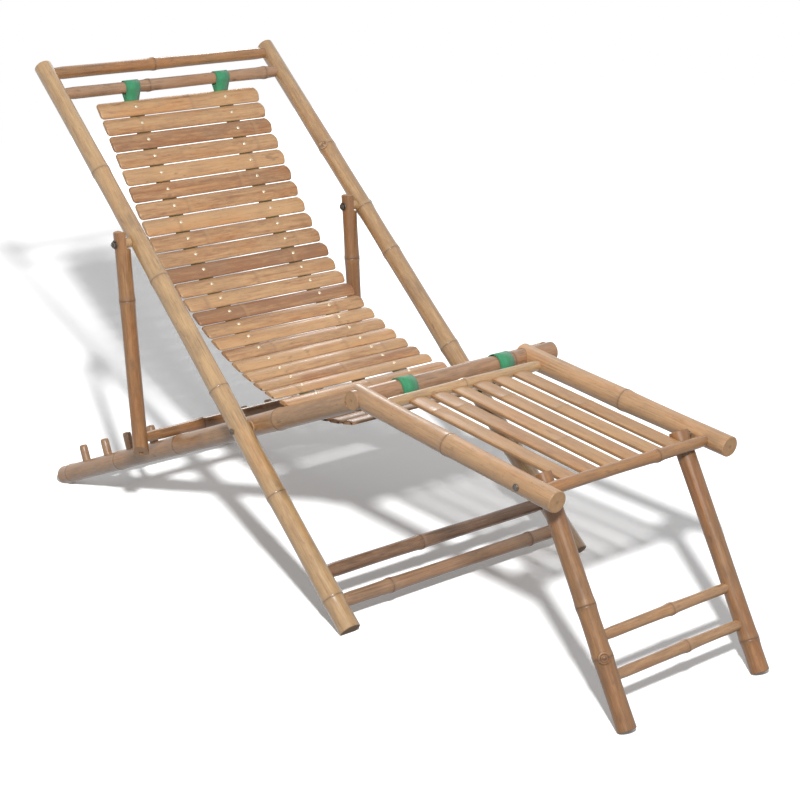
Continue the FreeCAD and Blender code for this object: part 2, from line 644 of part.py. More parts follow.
# The origin is on the floor in the middle of the chair's outer box
def write(nodes):
    os.makedirs("parts", exist_ok=True)
    box = Part.makeCompound(list(nodes.values())).BoundBox
    shift = Vec(-box.Center.x, -box.Center.y, 0)
    for name, shape in sorted(nodes.items()):
        moved = shape.copy()
        moved.translate(shift)
        kinds = {solid.isValid() for solid in moved.Solids}
        print(name, len(moved.Solids), kinds, round(moved.Volume))
        moved.exportStep("parts/" + name + ".step")
    print("overall", round(box.XLength, 1), round(box.YLength, 1), round(box.ZLength, 1))
    print("shift", shift)
    fold = sling_point(fold_station(), SLAT_CROWN)[0]
    points = {"main pivot": PIVOT, "prop hinge": HINGE, "leg screw": LEG_PIVOT, "fold": fold,
              "front bar": FRONT_BAR, "prop bar": PROP_BAR, "sling bar": SLING_BAR}
    for name, point in points.items():
        print(name, round(point[0] + shift.x, 3), round(point[1], 3))
    for name in ("long_rail_right", "long_rail_left", "seat_rail_right", "seat_rail_left", "leg_right", "leg_left"):
        shape = nodes[name].copy()
        shape.translate(shift)
        feet = [face for face in shape.Faces if face.BoundBox.ZMax < 0.01]
        for face in feet:
            print("foot", name, [round(value, 2) for value in face.CenterOfMass])


write(build())
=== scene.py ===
# %% [markdown]
# # A bamboo folding recliner
# The chair is made of three crossing frames of bamboo cane, a sling of split bamboo on green webbing,
# and a footrest that hooks over the front bar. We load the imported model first, because every visible
# piece stands for one of its nodes and must sit exactly where that node sits.

# %% Load the frame
import json
import math
import random

import bmesh
import bpy
from mathutils import Matrix, Vector


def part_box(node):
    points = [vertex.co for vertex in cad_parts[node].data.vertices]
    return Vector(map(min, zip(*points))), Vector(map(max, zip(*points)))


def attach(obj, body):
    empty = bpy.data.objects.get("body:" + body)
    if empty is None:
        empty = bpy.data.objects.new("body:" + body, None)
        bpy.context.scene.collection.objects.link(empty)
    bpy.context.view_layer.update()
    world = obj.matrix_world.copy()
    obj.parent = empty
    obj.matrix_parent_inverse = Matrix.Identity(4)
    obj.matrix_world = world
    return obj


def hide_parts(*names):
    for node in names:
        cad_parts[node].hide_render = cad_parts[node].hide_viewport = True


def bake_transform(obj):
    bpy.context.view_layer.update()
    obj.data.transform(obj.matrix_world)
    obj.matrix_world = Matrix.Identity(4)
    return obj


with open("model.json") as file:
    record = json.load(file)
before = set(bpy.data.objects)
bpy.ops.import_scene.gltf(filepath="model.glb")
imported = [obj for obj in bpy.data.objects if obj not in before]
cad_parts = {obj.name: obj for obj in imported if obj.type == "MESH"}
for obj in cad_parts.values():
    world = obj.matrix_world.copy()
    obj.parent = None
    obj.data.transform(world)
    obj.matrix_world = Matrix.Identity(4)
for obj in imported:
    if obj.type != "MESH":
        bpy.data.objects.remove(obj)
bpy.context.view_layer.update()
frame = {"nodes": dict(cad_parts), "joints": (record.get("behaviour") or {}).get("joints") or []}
print("nodes in the frame:", len(frame["nodes"]))

# %% [markdown]
# All canes lie in planes side by side, so a place is a point (x, z) in such a plane and a y for the plane.
# The joints give the pivots, and each node's box gives the y of its own plane.


# %% Places shared by all the pieces
def joint_place(name):
    joint = next(item for item in frame["joints"] if item["name"] == name)
    return (joint["pos_m"][0], joint["pos_m"][2])


def along(origin, angle, distance, across=0.0):
    """A point at a distance along a direction, and a distance square to it."""
    turn = math.radians(angle)
    x = origin[0] + distance * math.cos(turn) - across * math.sin(turn)
    z = origin[1] + distance * math.sin(turn) + across * math.cos(turn)
    return (x, z)


def spot(point, y):
    return Vector((point[0], y, point[1]))


def middle_y(node):
    low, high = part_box(node)
    return (low[1] + high[1]) / 2


def middle(node):
    low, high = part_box(node)
    return ((low[0] + high[0]) / 2, (low[2] + high[2]) / 2)


def add_object(name, data):
    item = bpy.data.objects.new(name, data)
    bpy.context.scene.collection.objects.link(item)
    return item


PIVOT = joint_place("main_fold")
HINGE = joint_place("prop_swing")
LEG_PIVOT = joint_place("leg_fold")
LONG_ANGLE = 44.1
SEAT_ANGLE = 19.2
FOOTREST_ANGLE = 8.6
LEG_ANGLE = 64.3
LONG_UP = 180 - LONG_ANGLE
LONG_BELOW_PIVOT = 0.442
LONG_LENGTH = 1.380
LONG_FOOT = along(PIVOT, LONG_UP, -LONG_BELOW_PIVOT)
LONG_HEAD = along(LONG_FOOT, LONG_UP, LONG_LENGTH)
SEAT_BEHIND_PIVOT = 0.907
SEAT_REAR = along(PIVOT, SEAT_ANGLE, -SEAT_BEHIND_PIVOT)
FRONT_BAR = middle("front_bar")
PROP_BAR = middle("prop_bar")
SLING_BAR = middle("sling_bar")
print("main pivot", PIVOT, "front bar", FRONT_BAR)

# %% [markdown]
# ## The camera
# The picture was taken from the front, to the sitter's right and above the seat. The lens is long,
# so the canes stay almost parallel. The rotation is given by the directions of the picture's right, its up
# and its back, because those three were measured from the canes themselves.

# %% Camera
CAMERA_PLACE = (2.476874, -1.831998, 1.178152)
CAMERA_RIGHT = (0.58763, 0.80728, -0.05462)
CAMERA_UP = (-0.19403, 0.20613, 0.95909)
CAMERA_BACK = (0.78552, -0.55299, 0.27777)
FOCAL_PIXELS = 1636.75
PICTURE_SIZE = 800
PRINCIPAL_POINT = (324.82, 420.26)
SENSOR = 36.0

camera_data = bpy.data.cameras.new("picture_camera")
camera_data.sensor_width = SENSOR
camera_data.lens = FOCAL_PIXELS / PICTURE_SIZE * SENSOR
camera_data.shift_x = (PICTURE_SIZE / 2 - PRINCIPAL_POINT[0]) / PICTURE_SIZE
camera_data.shift_y = (PRINCIPAL_POINT[1] - PICTURE_SIZE / 2) / PICTURE_SIZE
camera = add_object("picture_camera", camera_data)
camera_turn = Matrix((CAMERA_RIGHT, CAMERA_UP, CAMERA_BACK)).transposed()
camera.matrix_world = Matrix.Translation(CAMERA_PLACE) @ camera_turn.to_4x4()
bpy.context.scene.camera = camera
print("lens", round(camera_data.lens, 2), "mm")

# %% [markdown]
# ## Building shader trees
# Bamboo needs the same pattern in many finishes. A node group holds it once, with named inputs, and each
# material sets its own colours. Small helpers keep the wiring readable: they add a node and fill its sockets,
# do sums, and lay tints over a colour, each through its own mask.


# %% Helpers for shader nodes
def fill(tree, node, inputs):
    """Links each named socket to another socket, or sets its value."""
    for key, value in inputs.items():
        socket = node.inputs[key]
        if isinstance(value, bpy.types.NodeSocket):
            tree.links.new(value, socket)
        else:
            socket.default_value = value


def add(tree, kind, inputs=None, **settings):
    made = tree.nodes.new("ShaderNode" + kind)
    for key, value in settings.items():
        setattr(made, key, value)
    fill(tree, made, inputs or {})
    return made


def maths(tree, operation, first, second=0.0):
    return add(tree, "Math", {0: first, 1: second}, operation=operation).outputs[0]


def plus(tree, first, second):
    return maths(tree, "ADD", first, second)


def minus(tree, first, second):
    return maths(tree, "SUBTRACT", first, second)


def times(tree, first, second):
    return maths(tree, "MULTIPLY", first, second)


def remap(tree, value, low, high, to_low=0.0, to_high=1.0):
    inputs = {"Value": value, "From Min": low, "From Max": high, "To Min": to_low, "To Max": to_high}
    return add(tree, "MapRange", inputs, interpolation_type="SMOOTHSTEP").outputs[0]


def mask(tree, value, low, high, share):
    """Grows from nothing to the share while the value goes from low to high."""
    return times(tree, remap(tree, value, low, high), share)


def blend_colours(tree, share, first, second, blend="MIX"):
    mixer = add(tree, "Mix", {0: share, 6: first, 7: second}, data_type="RGBA", blend_type=blend)
    return mixer.outputs[2]


def layered(tree, colour, layers):
    """Lays tints over a colour, each through its mask."""
    for share, tint in layers:
        colour = blend_colours(tree, share, colour, tint)
    return colour


def stretched_noise(tree, vector, scales, detail=3.0, roughness=0.55):
    """Noise with its own scale for each direction: twice across the cane, once along it."""
    scaled = add(tree, "VectorMath", {0: vector, 1: scales}, operation="MULTIPLY")
    inputs = {"Vector": scaled.outputs[0], "Scale": 1.0, "Detail": detail, "Roughness": roughness}
    return add(tree, "TexNoise", inputs).outputs["Fac"]


def bump_of(tree, height, strength, distance):
    inputs = {"Height": height, "Strength": strength, "Distance": distance}
    return add(tree, "Bump", inputs).outputs[0]


def own_attribute(tree, name, output="Fac"):
    return add(tree, "Attribute", attribute_name=name).outputs[output]


def new_group(name, inputs, outputs):
    tree = bpy.data.node_groups.new(name, "ShaderNodeTree")
    for label, kind, default in inputs:
        socket = tree.interface.new_socket(label, in_out="INPUT", socket_type=kind)
        socket.default_value = default
    for label, kind in outputs:
        tree.interface.new_socket(label, in_out="OUTPUT", socket_type=kind)
    source = tree.nodes.new("NodeGroupInput")
    sink = tree.nodes.new("NodeGroupOutput")
    return tree, source, sink


COLOUR = "NodeSocketColor"
NUMBER = "NodeSocketFloat"

# %% [markdown]
# ## The skin of bamboo
# Lacquered cane shows long streaks along its fibres, broad cloudy changes of tone, small dark specks, and
# at each node a thin dark line with a paler band beyond it. The pattern has to follow each cane whatever
# way it points, so every piece carries an attribute, `cane`, with its own coordinates: z along the fibres.
# Three more attributes give its tone, the distance to the nearest node and the distance past it.


# %% Node group: bamboo skin
SKIN_INPUTS = (
    ("Pale", COLOUR, (0.7, 0.5, 0.3, 1)),
    ("Deep", COLOUR, (0.4, 0.25, 0.12, 1)),
    ("Dusk", COLOUR, (0.2, 0.13, 0.09, 1)),
    ("Dusk Share", NUMBER, 0.4),
    ("Speck Share", NUMBER, 0.5),
    ("Node Line", NUMBER, 0.6),
)
SKIN_OUTPUTS = (("Color", COLOUR), ("Roughness", NUMBER), ("Height", NUMBER))
# Each noise by its scales (twice across the cane, once along it), its detail and its roughness.
SKIN_NOISES = {
    "broad": ((55, 55, 2.6), 2.0),
    "streak": ((190, 190, 3.2), 4.0, 0.6),
    "fibre": ((900, 900, 14), 3.0, 0.6),
    "cloud": ((16, 16, 11), 3.0),
    "speck": ((420, 420, 130), 2.0),
    "scar": ((70, 70, 24), 2.0),
    "mottle": ((190, 190, 32), 5.0, 0.7),
    "rust": ((22, 22, 5), 3.0, 0.6),
}
RUST_TINT = (1.0, 0.78, 0.58, 1)
NODE_LINE_TINT = (0.085, 0.045, 0.025, 1)


def make_bamboo_skin():
    tree, source, sink = new_group("bamboo_skin", SKIN_INPUTS, SKIN_OUTPUTS)
    pale, deep, dusk, dusk_share, speck_share, node_line = source.outputs[: len(SKIN_INPUTS)]
    cane = own_attribute(tree, "cane", "Vector")
    tone, gap, past = [own_attribute(tree, name) for name in ("tone", "node_gap", "node_past")]
    noise = {name: stretched_noise(tree, cane, *values) for name, values in SKIN_NOISES.items()}
    streak, fibre, cloud, mottle = [noise[name] for name in ("streak", "fibre", "cloud", "mottle")]

    mixed = plus(tree, times(tree, noise["broad"], 0.42), times(tree, streak, 0.55))
    mixed = plus(tree, mixed, times(tree, cloud, 0.35))
    mixed = plus(tree, mixed, times(tree, minus(tree, mottle, 0.57), 0.8))
    mixed = plus(tree, mixed, minus(tree, tone, 0.5))
    colour = blend_colours(tree, remap(tree, mixed, 0.32, 0.84), deep, pale)
    rust_mask = mask(tree, noise["rust"], 0.48, 0.70, 0.55)
    colour = blend_colours(tree, rust_mask, colour, RUST_TINT, "MULTIPLY")
    speck_mask = mask(tree, noise["speck"], 0.66, 0.74, speck_share)
    line_mask = mask(tree, gap, 0.0026, 0.0006, node_line)
    layers = (
        (times(tree, mask(tree, cloud, 0.44, 0.68, remap(tree, streak, 0.36, 0.62)), dusk_share), dusk),
        (mask(tree, fibre, 0.48, 0.70, 0.34), dusk),
        (mask(tree, noise["scar"], 0.66, 0.76, speck_share), dusk),
        (speck_mask, dusk),
        (mask(tree, past, 0.012, 0.003, 0.35), pale),
        (mask(tree, gap, 0.009, 0.001, times(tree, streak, 0.45)), dusk),
        (line_mask, NODE_LINE_TINT),
    )
    colour = layered(tree, colour, layers)

    rough = plus(tree, remap(tree, mottle, 0.3, 0.7, 0.28, 0.50), times(tree, line_mask, 0.25))
    height = plus(tree, times(tree, fibre, 0.5), times(tree, streak, 0.8))
    height = minus(tree, height, times(tree, speck_mask, 0.8))
    fill(tree, sink, {"Color": colour, "Roughness": rough, "Height": height})
    return tree


BAMBOO_SKIN = make_bamboo_skin()
print("bamboo skin nodes:", len(BAMBOO_SKIN.nodes))


# %% Bamboo finishes
def new_material(name):
    material = bpy.data.materials.new(name)
    material.use_nodes = True
    shader = material.node_tree.nodes["Principled BSDF"]
    return material, material.node_tree, shader


def bamboo(name, colours, shares, coat, coat_roughness=0.26):
    """A finish by its pale, deep and dusk colours and its shares of dusk, specks and node line."""
    material, tree, shader = new_material(name)
    values = [(*colour, 1) for colour in colours] + list(shares)
    inputs = {item[0]: value for item, value in zip(SKIN_INPUTS, values)}
    skin = add(tree, "Group", inputs, node_tree=BAMBOO_SKIN).outputs
    inputs = {
        "Base Color": skin["Color"],
        "Roughness": skin["Roughness"],
        "Normal": bump_of(tree, skin["Height"], 0.35, 0.0006),
        "Coat Weight": coat,
        "Coat Roughness": coat_roughness,
    }
    fill(tree, shader, inputs)
    return material


GOLDEN_COLOURS = ((0.64, 0.41, 0.20), (0.40, 0.23, 0.105), (0.19, 0.115, 0.065))
DARK_COLOURS = ((0.47, 0.285, 0.17), (0.22, 0.12, 0.068), (0.10, 0.06, 0.04))
BROWN_COLOURS = ((0.48, 0.25, 0.105), (0.28, 0.135, 0.055), (0.13, 0.07, 0.04))
ORANGE_COLOURS = ((0.62, 0.375, 0.195), (0.38, 0.205, 0.10), (0.18, 0.10, 0.055))
SLAT_COLOURS = ((0.65, 0.395, 0.20), (0.34, 0.165, 0.08), (0.22, 0.125, 0.08))
FOOT_SLAT_COLOURS = ((0.58, 0.33, 0.145), (0.38, 0.195, 0.08), (0.24, 0.13, 0.075))
PEG_COLOURS = ((0.50, 0.32, 0.185), (0.32, 0.18, 0.10), (0.18, 0.10, 0.07))
GOLDEN = bamboo("golden_cane", GOLDEN_COLOURS, (0.6, 0.5, 0.4), 0.9, 0.17)
DARK = bamboo("dark_cane", DARK_COLOURS, (0.6, 0.5, 0.4), 0.2)
BROWN = bamboo("brown_cane", BROWN_COLOURS, (0.65, 0.5, 0.45), 0.35)
ORANGE = bamboo("orange_cane", ORANGE_COLOURS, (0.5, 0.5, 0.4), 0.3)
SLAT = bamboo("split_cane", SLAT_COLOURS, (0.4, 0.5, 0.03), 0.05)
FOOT_SLAT = bamboo("footrest_split_cane", FOOT_SLAT_COLOURS, (0.4, 0.5, 0.1), 0.05)
PEG = bamboo("peg_wood", PEG_COLOURS, (0.4, 0.3, 0.0), 0.1)

# %% [markdown]
# ## Cut ends, webbing and metal
# A sawn cane end is pale, dotted with the ends of its fibres and darker at the rim and at the pith. The feet
# on the floor are worn darker. Webbing is a plain weave: fine ribs across the strap and rows along it, which
# darken a little in the valleys as painted shade. Under the slats the webbing is painted dark olive, for the
# slats' shade and for soiling. The metal is dull, so that it reads as old zinc and not as chrome.


# %% Sawn ends
def make_end_grain(name, pale, deep):
    material, tree, shader = new_material(name)
    cane = own_attribute(tree, "cane", "Vector")
    flat = add(tree, "VectorMath", {0: cane, 1: (1, 1, 0)}, operation="MULTIPLY").outputs[0]
    distance = add(tree, "VectorMath", {0: flat}, operation="LENGTH").outputs["Value"]
    dots = add(tree, "TexVoronoi", {"Vector": flat, "Scale": 900.0}).outputs["Distance"]
    cloud = stretched_noise(tree, cane, (130, 130, 20), 3.0)
    colour = blend_colours(tree, cloud, (*deep, 1), (*pale, 1))
    layers = (
        (mask(tree, dots, 0.35, 0.1, 0.35), (0.30, 0.17, 0.08, 1)),
        (mask(tree, distance, 0.012, 0.021, 0.3), (0.32, 0.18, 0.09, 1)),
        (mask(tree, distance, 0.0045, 0.0015, 0.45), (0.28, 0.15, 0.07, 1)),
    )
    colour = layered(tree, colour, layers)
    fill(tree, shader, {"Base Color": colour, "Roughness": 0.7, "Normal": bump_of(tree, cloud, 0.4, 0.0005)})
    return material


SAWN = make_end_grain("sawn_end", (0.70, 0.44, 0.245), (0.46, 0.27, 0.14))
WORN = make_end_grain("worn_foot", (0.34, 0.21, 0.12), (0.20, 0.12, 0.07))


# %% Green webbing
STRAP_WIDTH = 0.034
RIB_PITCH = 0.0022
ROW_PITCH = 0.0018


def make_webbing():
    material, tree, shader = new_material("green_webbing")
    uv = add(tree, "UVMap", uv_map="strap").outputs[0]
    parts = add(tree, "SeparateXYZ", {0: uv}).outputs
    across = maths(tree, "SINE", times(tree, parts["X"], 2 * math.pi / RIB_PITCH))
    lengthwise = maths(tree, "SINE", times(tree, parts["Y"], 2 * math.pi / ROW_PITCH))
    weave = remap(tree, times(tree, across, lengthwise), -1.0, 1.0)
    worn = stretched_noise(tree, uv, (90, 35, 1), 3.0)
    edge = maths(tree, "ABSOLUTE", minus(tree, parts["X"], STRAP_WIDTH / 2))
    # The valleys of the weave get the darker green: painted shade.
    colour = blend_colours(tree, weave, (0.018, 0.20, 0.085, 1), (0.075, 0.42, 0.20, 1))
    layers = (
        (mask(tree, worn, 0.45, 0.75, 0.35), (0.16, 0.50, 0.30, 1)),
        (mask(tree, edge, STRAP_WIDTH * 0.40, STRAP_WIDTH * 0.45, 0.3), (0.02, 0.16, 0.07, 1)),
        # Under the slats the strap is painted dark olive: painted shade from the slats, and soiling.
        (times(tree, own_attribute(tree, "soiled_and_shaded"), 0.9), (0.075, 0.062, 0.018, 1)),
    )
    inputs = {
        "Base Color": layered(tree, colour, layers),
        "Roughness": 0.75,
        "Sheen Weight": 0.25,
        "Normal": bump_of(tree, weave, 0.6, 0.0004),
    }
    fill(tree, shader, inputs)
    return material


WEBBING = make_webbing()


# %% Metal
def make_metal(name, bright, dull, roughness):
    material, tree, shader = new_material(name)
    place = add(tree, "TexCoord").outputs["Object"]
    tarnish = stretched_noise(tree, place, (400, 400, 400), 4.0)
    colour = blend_colours(tree, remap(tree, tarnish, 0.4, 0.65), (*bright, 1), (*dull, 1))
    rough = remap(tree, tarnish, 0.3, 0.7, roughness, roughness + 0.2)
    fill(tree, shader, {"Base Color": colour, "Roughness": rough, "Metallic": 1.0})
    return material


STEEL = make_metal("dull_steel", (0.20, 0.18, 0.16), (0.10, 0.085, 0.07), 0.4)
RIVET = make_metal("pale_rivet", (0.86, 0.76, 0.58), (0.55, 0.45, 0.32), 0.35)
print("materials:", len(bpy.data.materials))

# %% [markdown]
# ## Turning a cane on a lathe
# A cane is round, so its outline is drawn once as a row of points and spun about its length. Between two
# nodes the wall draws in slightly, and each node swells to a lip with a groove under it. A real cane is
# never quite straight, so the finished tube gets a bend of about a millimetre. The tube is made upright at
# the origin. There its own coordinates are stored for the shader, and only then is it laid in its place.

# %% Helpers for meshes
ROUND_STEPS = 40
NODE_REACH = 0.03
EDGE_ROUNDING = 0.0012
UNEVEN = 0.0002
WAIST = 0.0006
RING_CLEAR = 0.02
AXIS_CORE = 0.004
SEED_SHIFT = 2.37
END_FACING = 0.985
NODE_SHAPE = (
    (-0.0160, 0.0000), (-0.0080, 0.0004), (-0.0032, 0.0012), (-0.0010, 0.0015), (0.0000, 0.0007),
    (0.0010, 0.0013), (0.0032, 0.0013), (0.0080, 0.0005), (0.0160, 0.0000),
)


def to_mesh(builder, name):
    mesh = bpy.data.meshes.new(name)
    builder.to_mesh(mesh)
    builder.free()
    return mesh


def lathe(outline, steps=ROUND_STEPS):
    """Spins an outline of (radius, height) points about the upright axis."""
    builder = bmesh.new()
    corners = [builder.verts.new((radius, 0, height)) for radius, height in outline]
    edges = [builder.edges.new(pair) for pair in zip(corners, corners[1:])]
    around = {"cent": (0, 0, 0), "axis": (0, 0, 1), "angle": 2 * math.pi}
    bmesh.ops.spin(builder, geom=corners + edges, steps=steps, use_merge=True, **around)
    bmesh.ops.remove_doubles(builder, verts=builder.verts, dist=1e-6)
    bmesh.ops.recalc_face_normals(builder, faces=builder.faces)
    return builder


def cane_outline(length, radius_start, radius_end, rings, spacing=0.035, bulge=0.65):
    """Even stations along the wall, apart from near a node, where the node's own shape takes over."""
    count = max(2, round(length / spacing))
    even = [length * number / count for number in range(1, count)]
    stations = {place: 0.0 for place in even if all(abs(place - ring) >= RING_CLEAR for ring in rings)}
    stations.update({EDGE_ROUNDING: 0.0, length - EDGE_ROUNDING: 0.0})
    for ring in rings:
        for offset, rise in NODE_SHAPE:
            if EDGE_ROUNDING < ring + offset < length - EDGE_ROUNDING:
                stations[ring + offset] = rise * bulge
    fences = sorted([0.0, length, *rings])
    outline = [(0, 0), (radius_start - EDGE_ROUNDING, 0)]
    for station in sorted(stations):
        radius = radius_start + (radius_end - radius_start) * station / length
        low = max(fence for fence in fences if fence <= station + 1e-9)
        high = min([fence for fence in fences if fence > station + 1e-9], default=length)
        between = (station - low) / max(high - low, 1e-6)
        draw_in = WAIST * math.sin(math.pi * min(max(between, 0), 1))
        outline.append((radius + stations[station] - draw_in, station))
    outline.append((radius_end - EDGE_ROUNDING, length))
    outline.append((0, length))
    return outline


def crook(builder, length, seed, amount):
    """Bends a cane gently, with both ends left in place, and makes its wall a little uneven."""
    chance = random.Random(seed)
    lean = [chance.uniform(-1, 1) * amount for _ in range(4)]
    turns = [chance.uniform(0, 2 * math.pi) for _ in range(3)]
    for vertex in builder.verts:
        share = vertex.co.z / length
        if math.hypot(vertex.co.x, vertex.co.y) > AXIS_CORE:
            angle = math.atan2(vertex.co.y, vertex.co.x)
            swell = math.sin(2 * angle + turns[0] + 9 * vertex.co.z) + math.sin(3 * angle + turns[1]) * 0.5
            swell += math.sin(31 * vertex.co.z + turns[2]) * 0.6
            vertex.co.x += UNEVEN * swell * math.cos(angle)
            vertex.co.y += UNEVEN * swell * math.sin(angle)
        vertex.co.x += lean[0] * math.sin(math.pi * share) + lean[1] * math.sin(2 * math.pi * share) / 2
        vertex.co.y += lean[2] * math.sin(math.pi * share) + lean[3] * math.sin(2 * math.pi * share) / 2


def laid(start, end):
    """The matrix that lays an upright piece from start towards end."""
    turn = (end - start).to_track_quat("Z", "Y")
    return Matrix.Translation(start) @ turn.to_matrix().to_4x4()


def moved(builder, matrix):
    bmesh.ops.transform(builder, matrix=matrix, verts=builder.verts)
    return builder


def lathe_between(outline, steps, start, end):
    """A turned piece that stands on start and points towards end."""
    return moved(lathe(outline, steps), laid(start, end))


def store(mesh, name, kind, values):
    attribute = mesh.attributes.new(name, kind, "POINT")
    field = "vector" if kind == "FLOAT_VECTOR" else "value"
    attribute.data.foreach_set(field, values)


def paint(mesh, rings, tone, seed, swap=False):
    """Stores a piece's own coordinates, its tone and its distances from the nodes."""
    cane = []
    gap = []
    past = []
    for vertex in mesh.vertices:
        x, y, z = vertex.co
        height = y if swap else z
        cane.extend((x, z if swap else y, height + seed * SEED_SHIFT))
        gap.append(min([abs(height - ring) for ring in rings] + [NODE_REACH]))
        past.append(min([height - ring for ring in rings if height >= ring] + [NODE_REACH]))
    store(mesh, "cane", "FLOAT_VECTOR", cane)
    store(mesh, "node_gap", "FLOAT", gap)
    store(mesh, "node_past", "FLOAT", past)
    store(mesh, "tone", "FLOAT", [tone] * len(mesh.vertices))


def end_faces(mesh):
    """Gives the second material to the faces that look straight along the cane."""
    for face in mesh.polygons:
        if abs(face.normal.z) > END_FACING:
            face.material_index = 1


def smooth(mesh, angle=38):
    for face in mesh.polygons:
        face.use_smooth = True
    mesh.set_sharp_from_angle(angle=math.radians(angle))


def show(mesh, name, materials):
    piece = add_object(name, mesh)
    for material in materials:
        mesh.materials.append(material)
    return piece


def dress(piece, body, slot, *nodes):
    """The piece moves with a body, and the CAD nodes that it stands for are hidden. The slot is not used."""
    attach(piece, body)
    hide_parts(*nodes)
    return piece


# %% [markdown]
# Some canes are carved: a foot is sawn level with the floor, a prop is halved at its top, and a footrest rail
# is hollowed to sit on the front bar. A level foot is one cut with a plane. For the others a cutter body
# is subtracted with a Boolean modifier, which is applied at once, before the coordinates are stored.


# %% Carving helpers
def saw(builder, point, normal):
    """Cuts away what lies on the far side of a plane and closes the cut."""
    parts = builder.verts[:] + builder.edges[:] + builder.faces[:]
    bmesh.ops.bisect_plane(builder, geom=parts, plane_co=point, plane_no=normal, clear_outer=True)
    rim = [edge for edge in builder.edges if edge.is_boundary]
    bmesh.ops.holes_fill(builder, edges=rim, sides=0)


def block(size, centre):
    """A box-shaped cutter, by its size and centre."""
    builder = bmesh.new()
    bmesh.ops.create_cube(builder, size=1)
    bmesh.ops.scale(builder, vec=size, verts=builder.verts)
    bmesh.ops.translate(builder, vec=centre, verts=builder.verts)
    return builder


def prism(radius, length, steps):
    """A closed column about the upright axis, with its middle at the origin."""
    builder = bmesh.new()
    sizes = {"radius1": radius, "radius2": radius, "depth": length}
    bmesh.ops.create_cone(builder, cap_ends=True, segments=steps, **sizes)
    return builder


def rod(radius, length, matrix, steps=32):
    """A round cutter or pin from the origin of the matrix along its z."""
    builder = prism(radius, length, steps)
    bmesh.ops.translate(builder, vec=(0, 0, length / 2), verts=builder.verts)
    return moved(builder, matrix)


def cross_rod(point, y, radius, reach, steps=32):
    """A round cutter across the chair, with its middle in the plane y."""
    return rod(radius, 2 * reach, laid(spot(point, y - reach), spot(point, y + reach)), steps)


def carve(mesh, cutters):
    """Subtracts cutter bodies from a mesh and returns the carved mesh."""
    body = add_object("carved", mesh)
    tools = []
    for number, builder in enumerate(cutters):
        tool = add_object("cutter", to_mesh(builder, "cutter"))
        modifier = body.modifiers.new("cut%d" % number, "BOOLEAN")
        modifier.object = tool
        modifier.solver = "EXACT"
        tools.append(tool)
    graph = bpy.context.evaluated_depsgraph_get()
    result = bpy.data.meshes.new_from_object(body.evaluated_get(graph))
    for item in tools + [body]:
        bpy.data.objects.remove(item)
    return result


# %% Branch scars
SCAR_HOLLOW = 0.0068
SCAR_TONE = -0.25
SCAR_OUTLINE = (
    (0.0, -0.0070), (0.0098, -0.0070), (0.0108, 0.0000), (0.0098, 0.0026), (0.0076, 0.0034),
    (0.0056, 0.0014), (0.0036, 0.0014), (0.0022, 0.0026), (0.0, 0.0028),
)


def scar_place(matrix, direction, station, radius):
    """Where on a cane's wall, in its own coordinates, a scar that faces a direction of the frame sits."""
    own = matrix.inverted().to_3x3() @ Vector(direction)
    turn = math.atan2(own.y, own.x)
    outward = Vector((math.cos(turn), math.sin(turn), 0))
    return outward * radius + Vector((0, 0, station)), outward


def add_scar(builder, foot, outward):
    """Puts the round scar of a branch on the side of an upright cane."""
    part = to_mesh(lathe_between(SCAR_OUTLINE, 16, foot, foot + outward), "scar")
    builder.from_mesh(part)
    bpy.data.meshes.remove(part)


def shade_scar(mesh, centre):
    """Darkens the hollow round the middle of a scar."""
    tones = mesh.attributes["tone"].data
    for vertex in mesh.vertices:
        if (vertex.co - centre).length < SCAR_HOLLOW:
            tones[vertex.index].value = SCAR_TONE


# %% One function for every cane
def cane_piece(
    node, start, end, radii, rings, look, seed, body, slot,
    tone=0.5, bend=0.0008, level_foot=False, cutters=(), scars=(),
):
    """A finished cane from start to end. The cutters are made in the frame and brought to the cane."""
    name = node + "_cane"
    length = (end - start).length
    builder = lathe(cane_outline(length, radii[0], radii[1], rings))
    crook(builder, length, seed, bend)
    matrix = laid(start, end)
    back = matrix.inverted()
    if level_foot:
        saw(builder, back @ Vector((start.x, start.y, 0)), back.to_3x3() @ Vector((0, 0, -1)))
    places = [scar_place(matrix, direction, station, radii[0]) for station, direction in scars]
    for foot, outward in places:
        add_scar(builder, foot, outward)
    mesh = to_mesh(builder, name)
    if cutters:
        mesh = carve(mesh, [moved(cutter, back) for cutter in cutters])
    mesh.name = name
    paint(mesh, rings, tone, seed)
    for foot, outward in places:
        shade_scar(mesh, foot)
    end_faces(mesh)
    smooth(mesh)
    mesh.transform(matrix)
    piece = show(mesh, name, [look, WORN if level_foot else SAWN])
    return dress(piece, body, slot, node)


# %% [markdown]
# ## The long frame
# Two rails as tall as a person's shoulder lean back at 44 degrees. Their nodes are 12 to 28 cm apart and are
# placed as in the picture. Four thinner bars join them, and the ends of the bars are whittled to a shoulder
# where they enter the rails.

# %% Long rails
LONG_RADII = (0.0205, 0.0185)
LONG_BEND = 0.0012
LONG_SCARS = ((1.068, (0.55, -0.80, 0.2)), (0.250, (0.9, -0.4, 0.2)))
LONG_RAILS = (
    ("right", (0.066, 0.290, 0.534, 0.804, 1.085), 1, 0.58, ()),
    ("left", (0.250, 0.512, 0.768, 0.890, 1.068), 2, 0.36, LONG_SCARS),
)

for side, rings, seed, tone, scars in LONG_RAILS:
    node = "long_rail_" + side
    y = middle_y(node)
    cane_piece(
        node, spot(LONG_FOOT, y), spot(LONG_HEAD, y), LONG_RADII, rings, GOLDEN, seed,
        "long_frame", "golden_culm", tone=tone, bend=LONG_BEND, level_foot=True, scars=scars,
    )

# %% Crossbars
SHOULDER = 0.022
BAR_REACH = 0.006
BAR_BEND = 0.0006
WHITTLED = 0.80
HEAD_BAR_RADIUS = 0.0130
FOOT_BAR_RADIUS = 0.0135
REAR_BAR_RADIUS = 0.0125
PROP_BAR_RADIUS = 0.0115


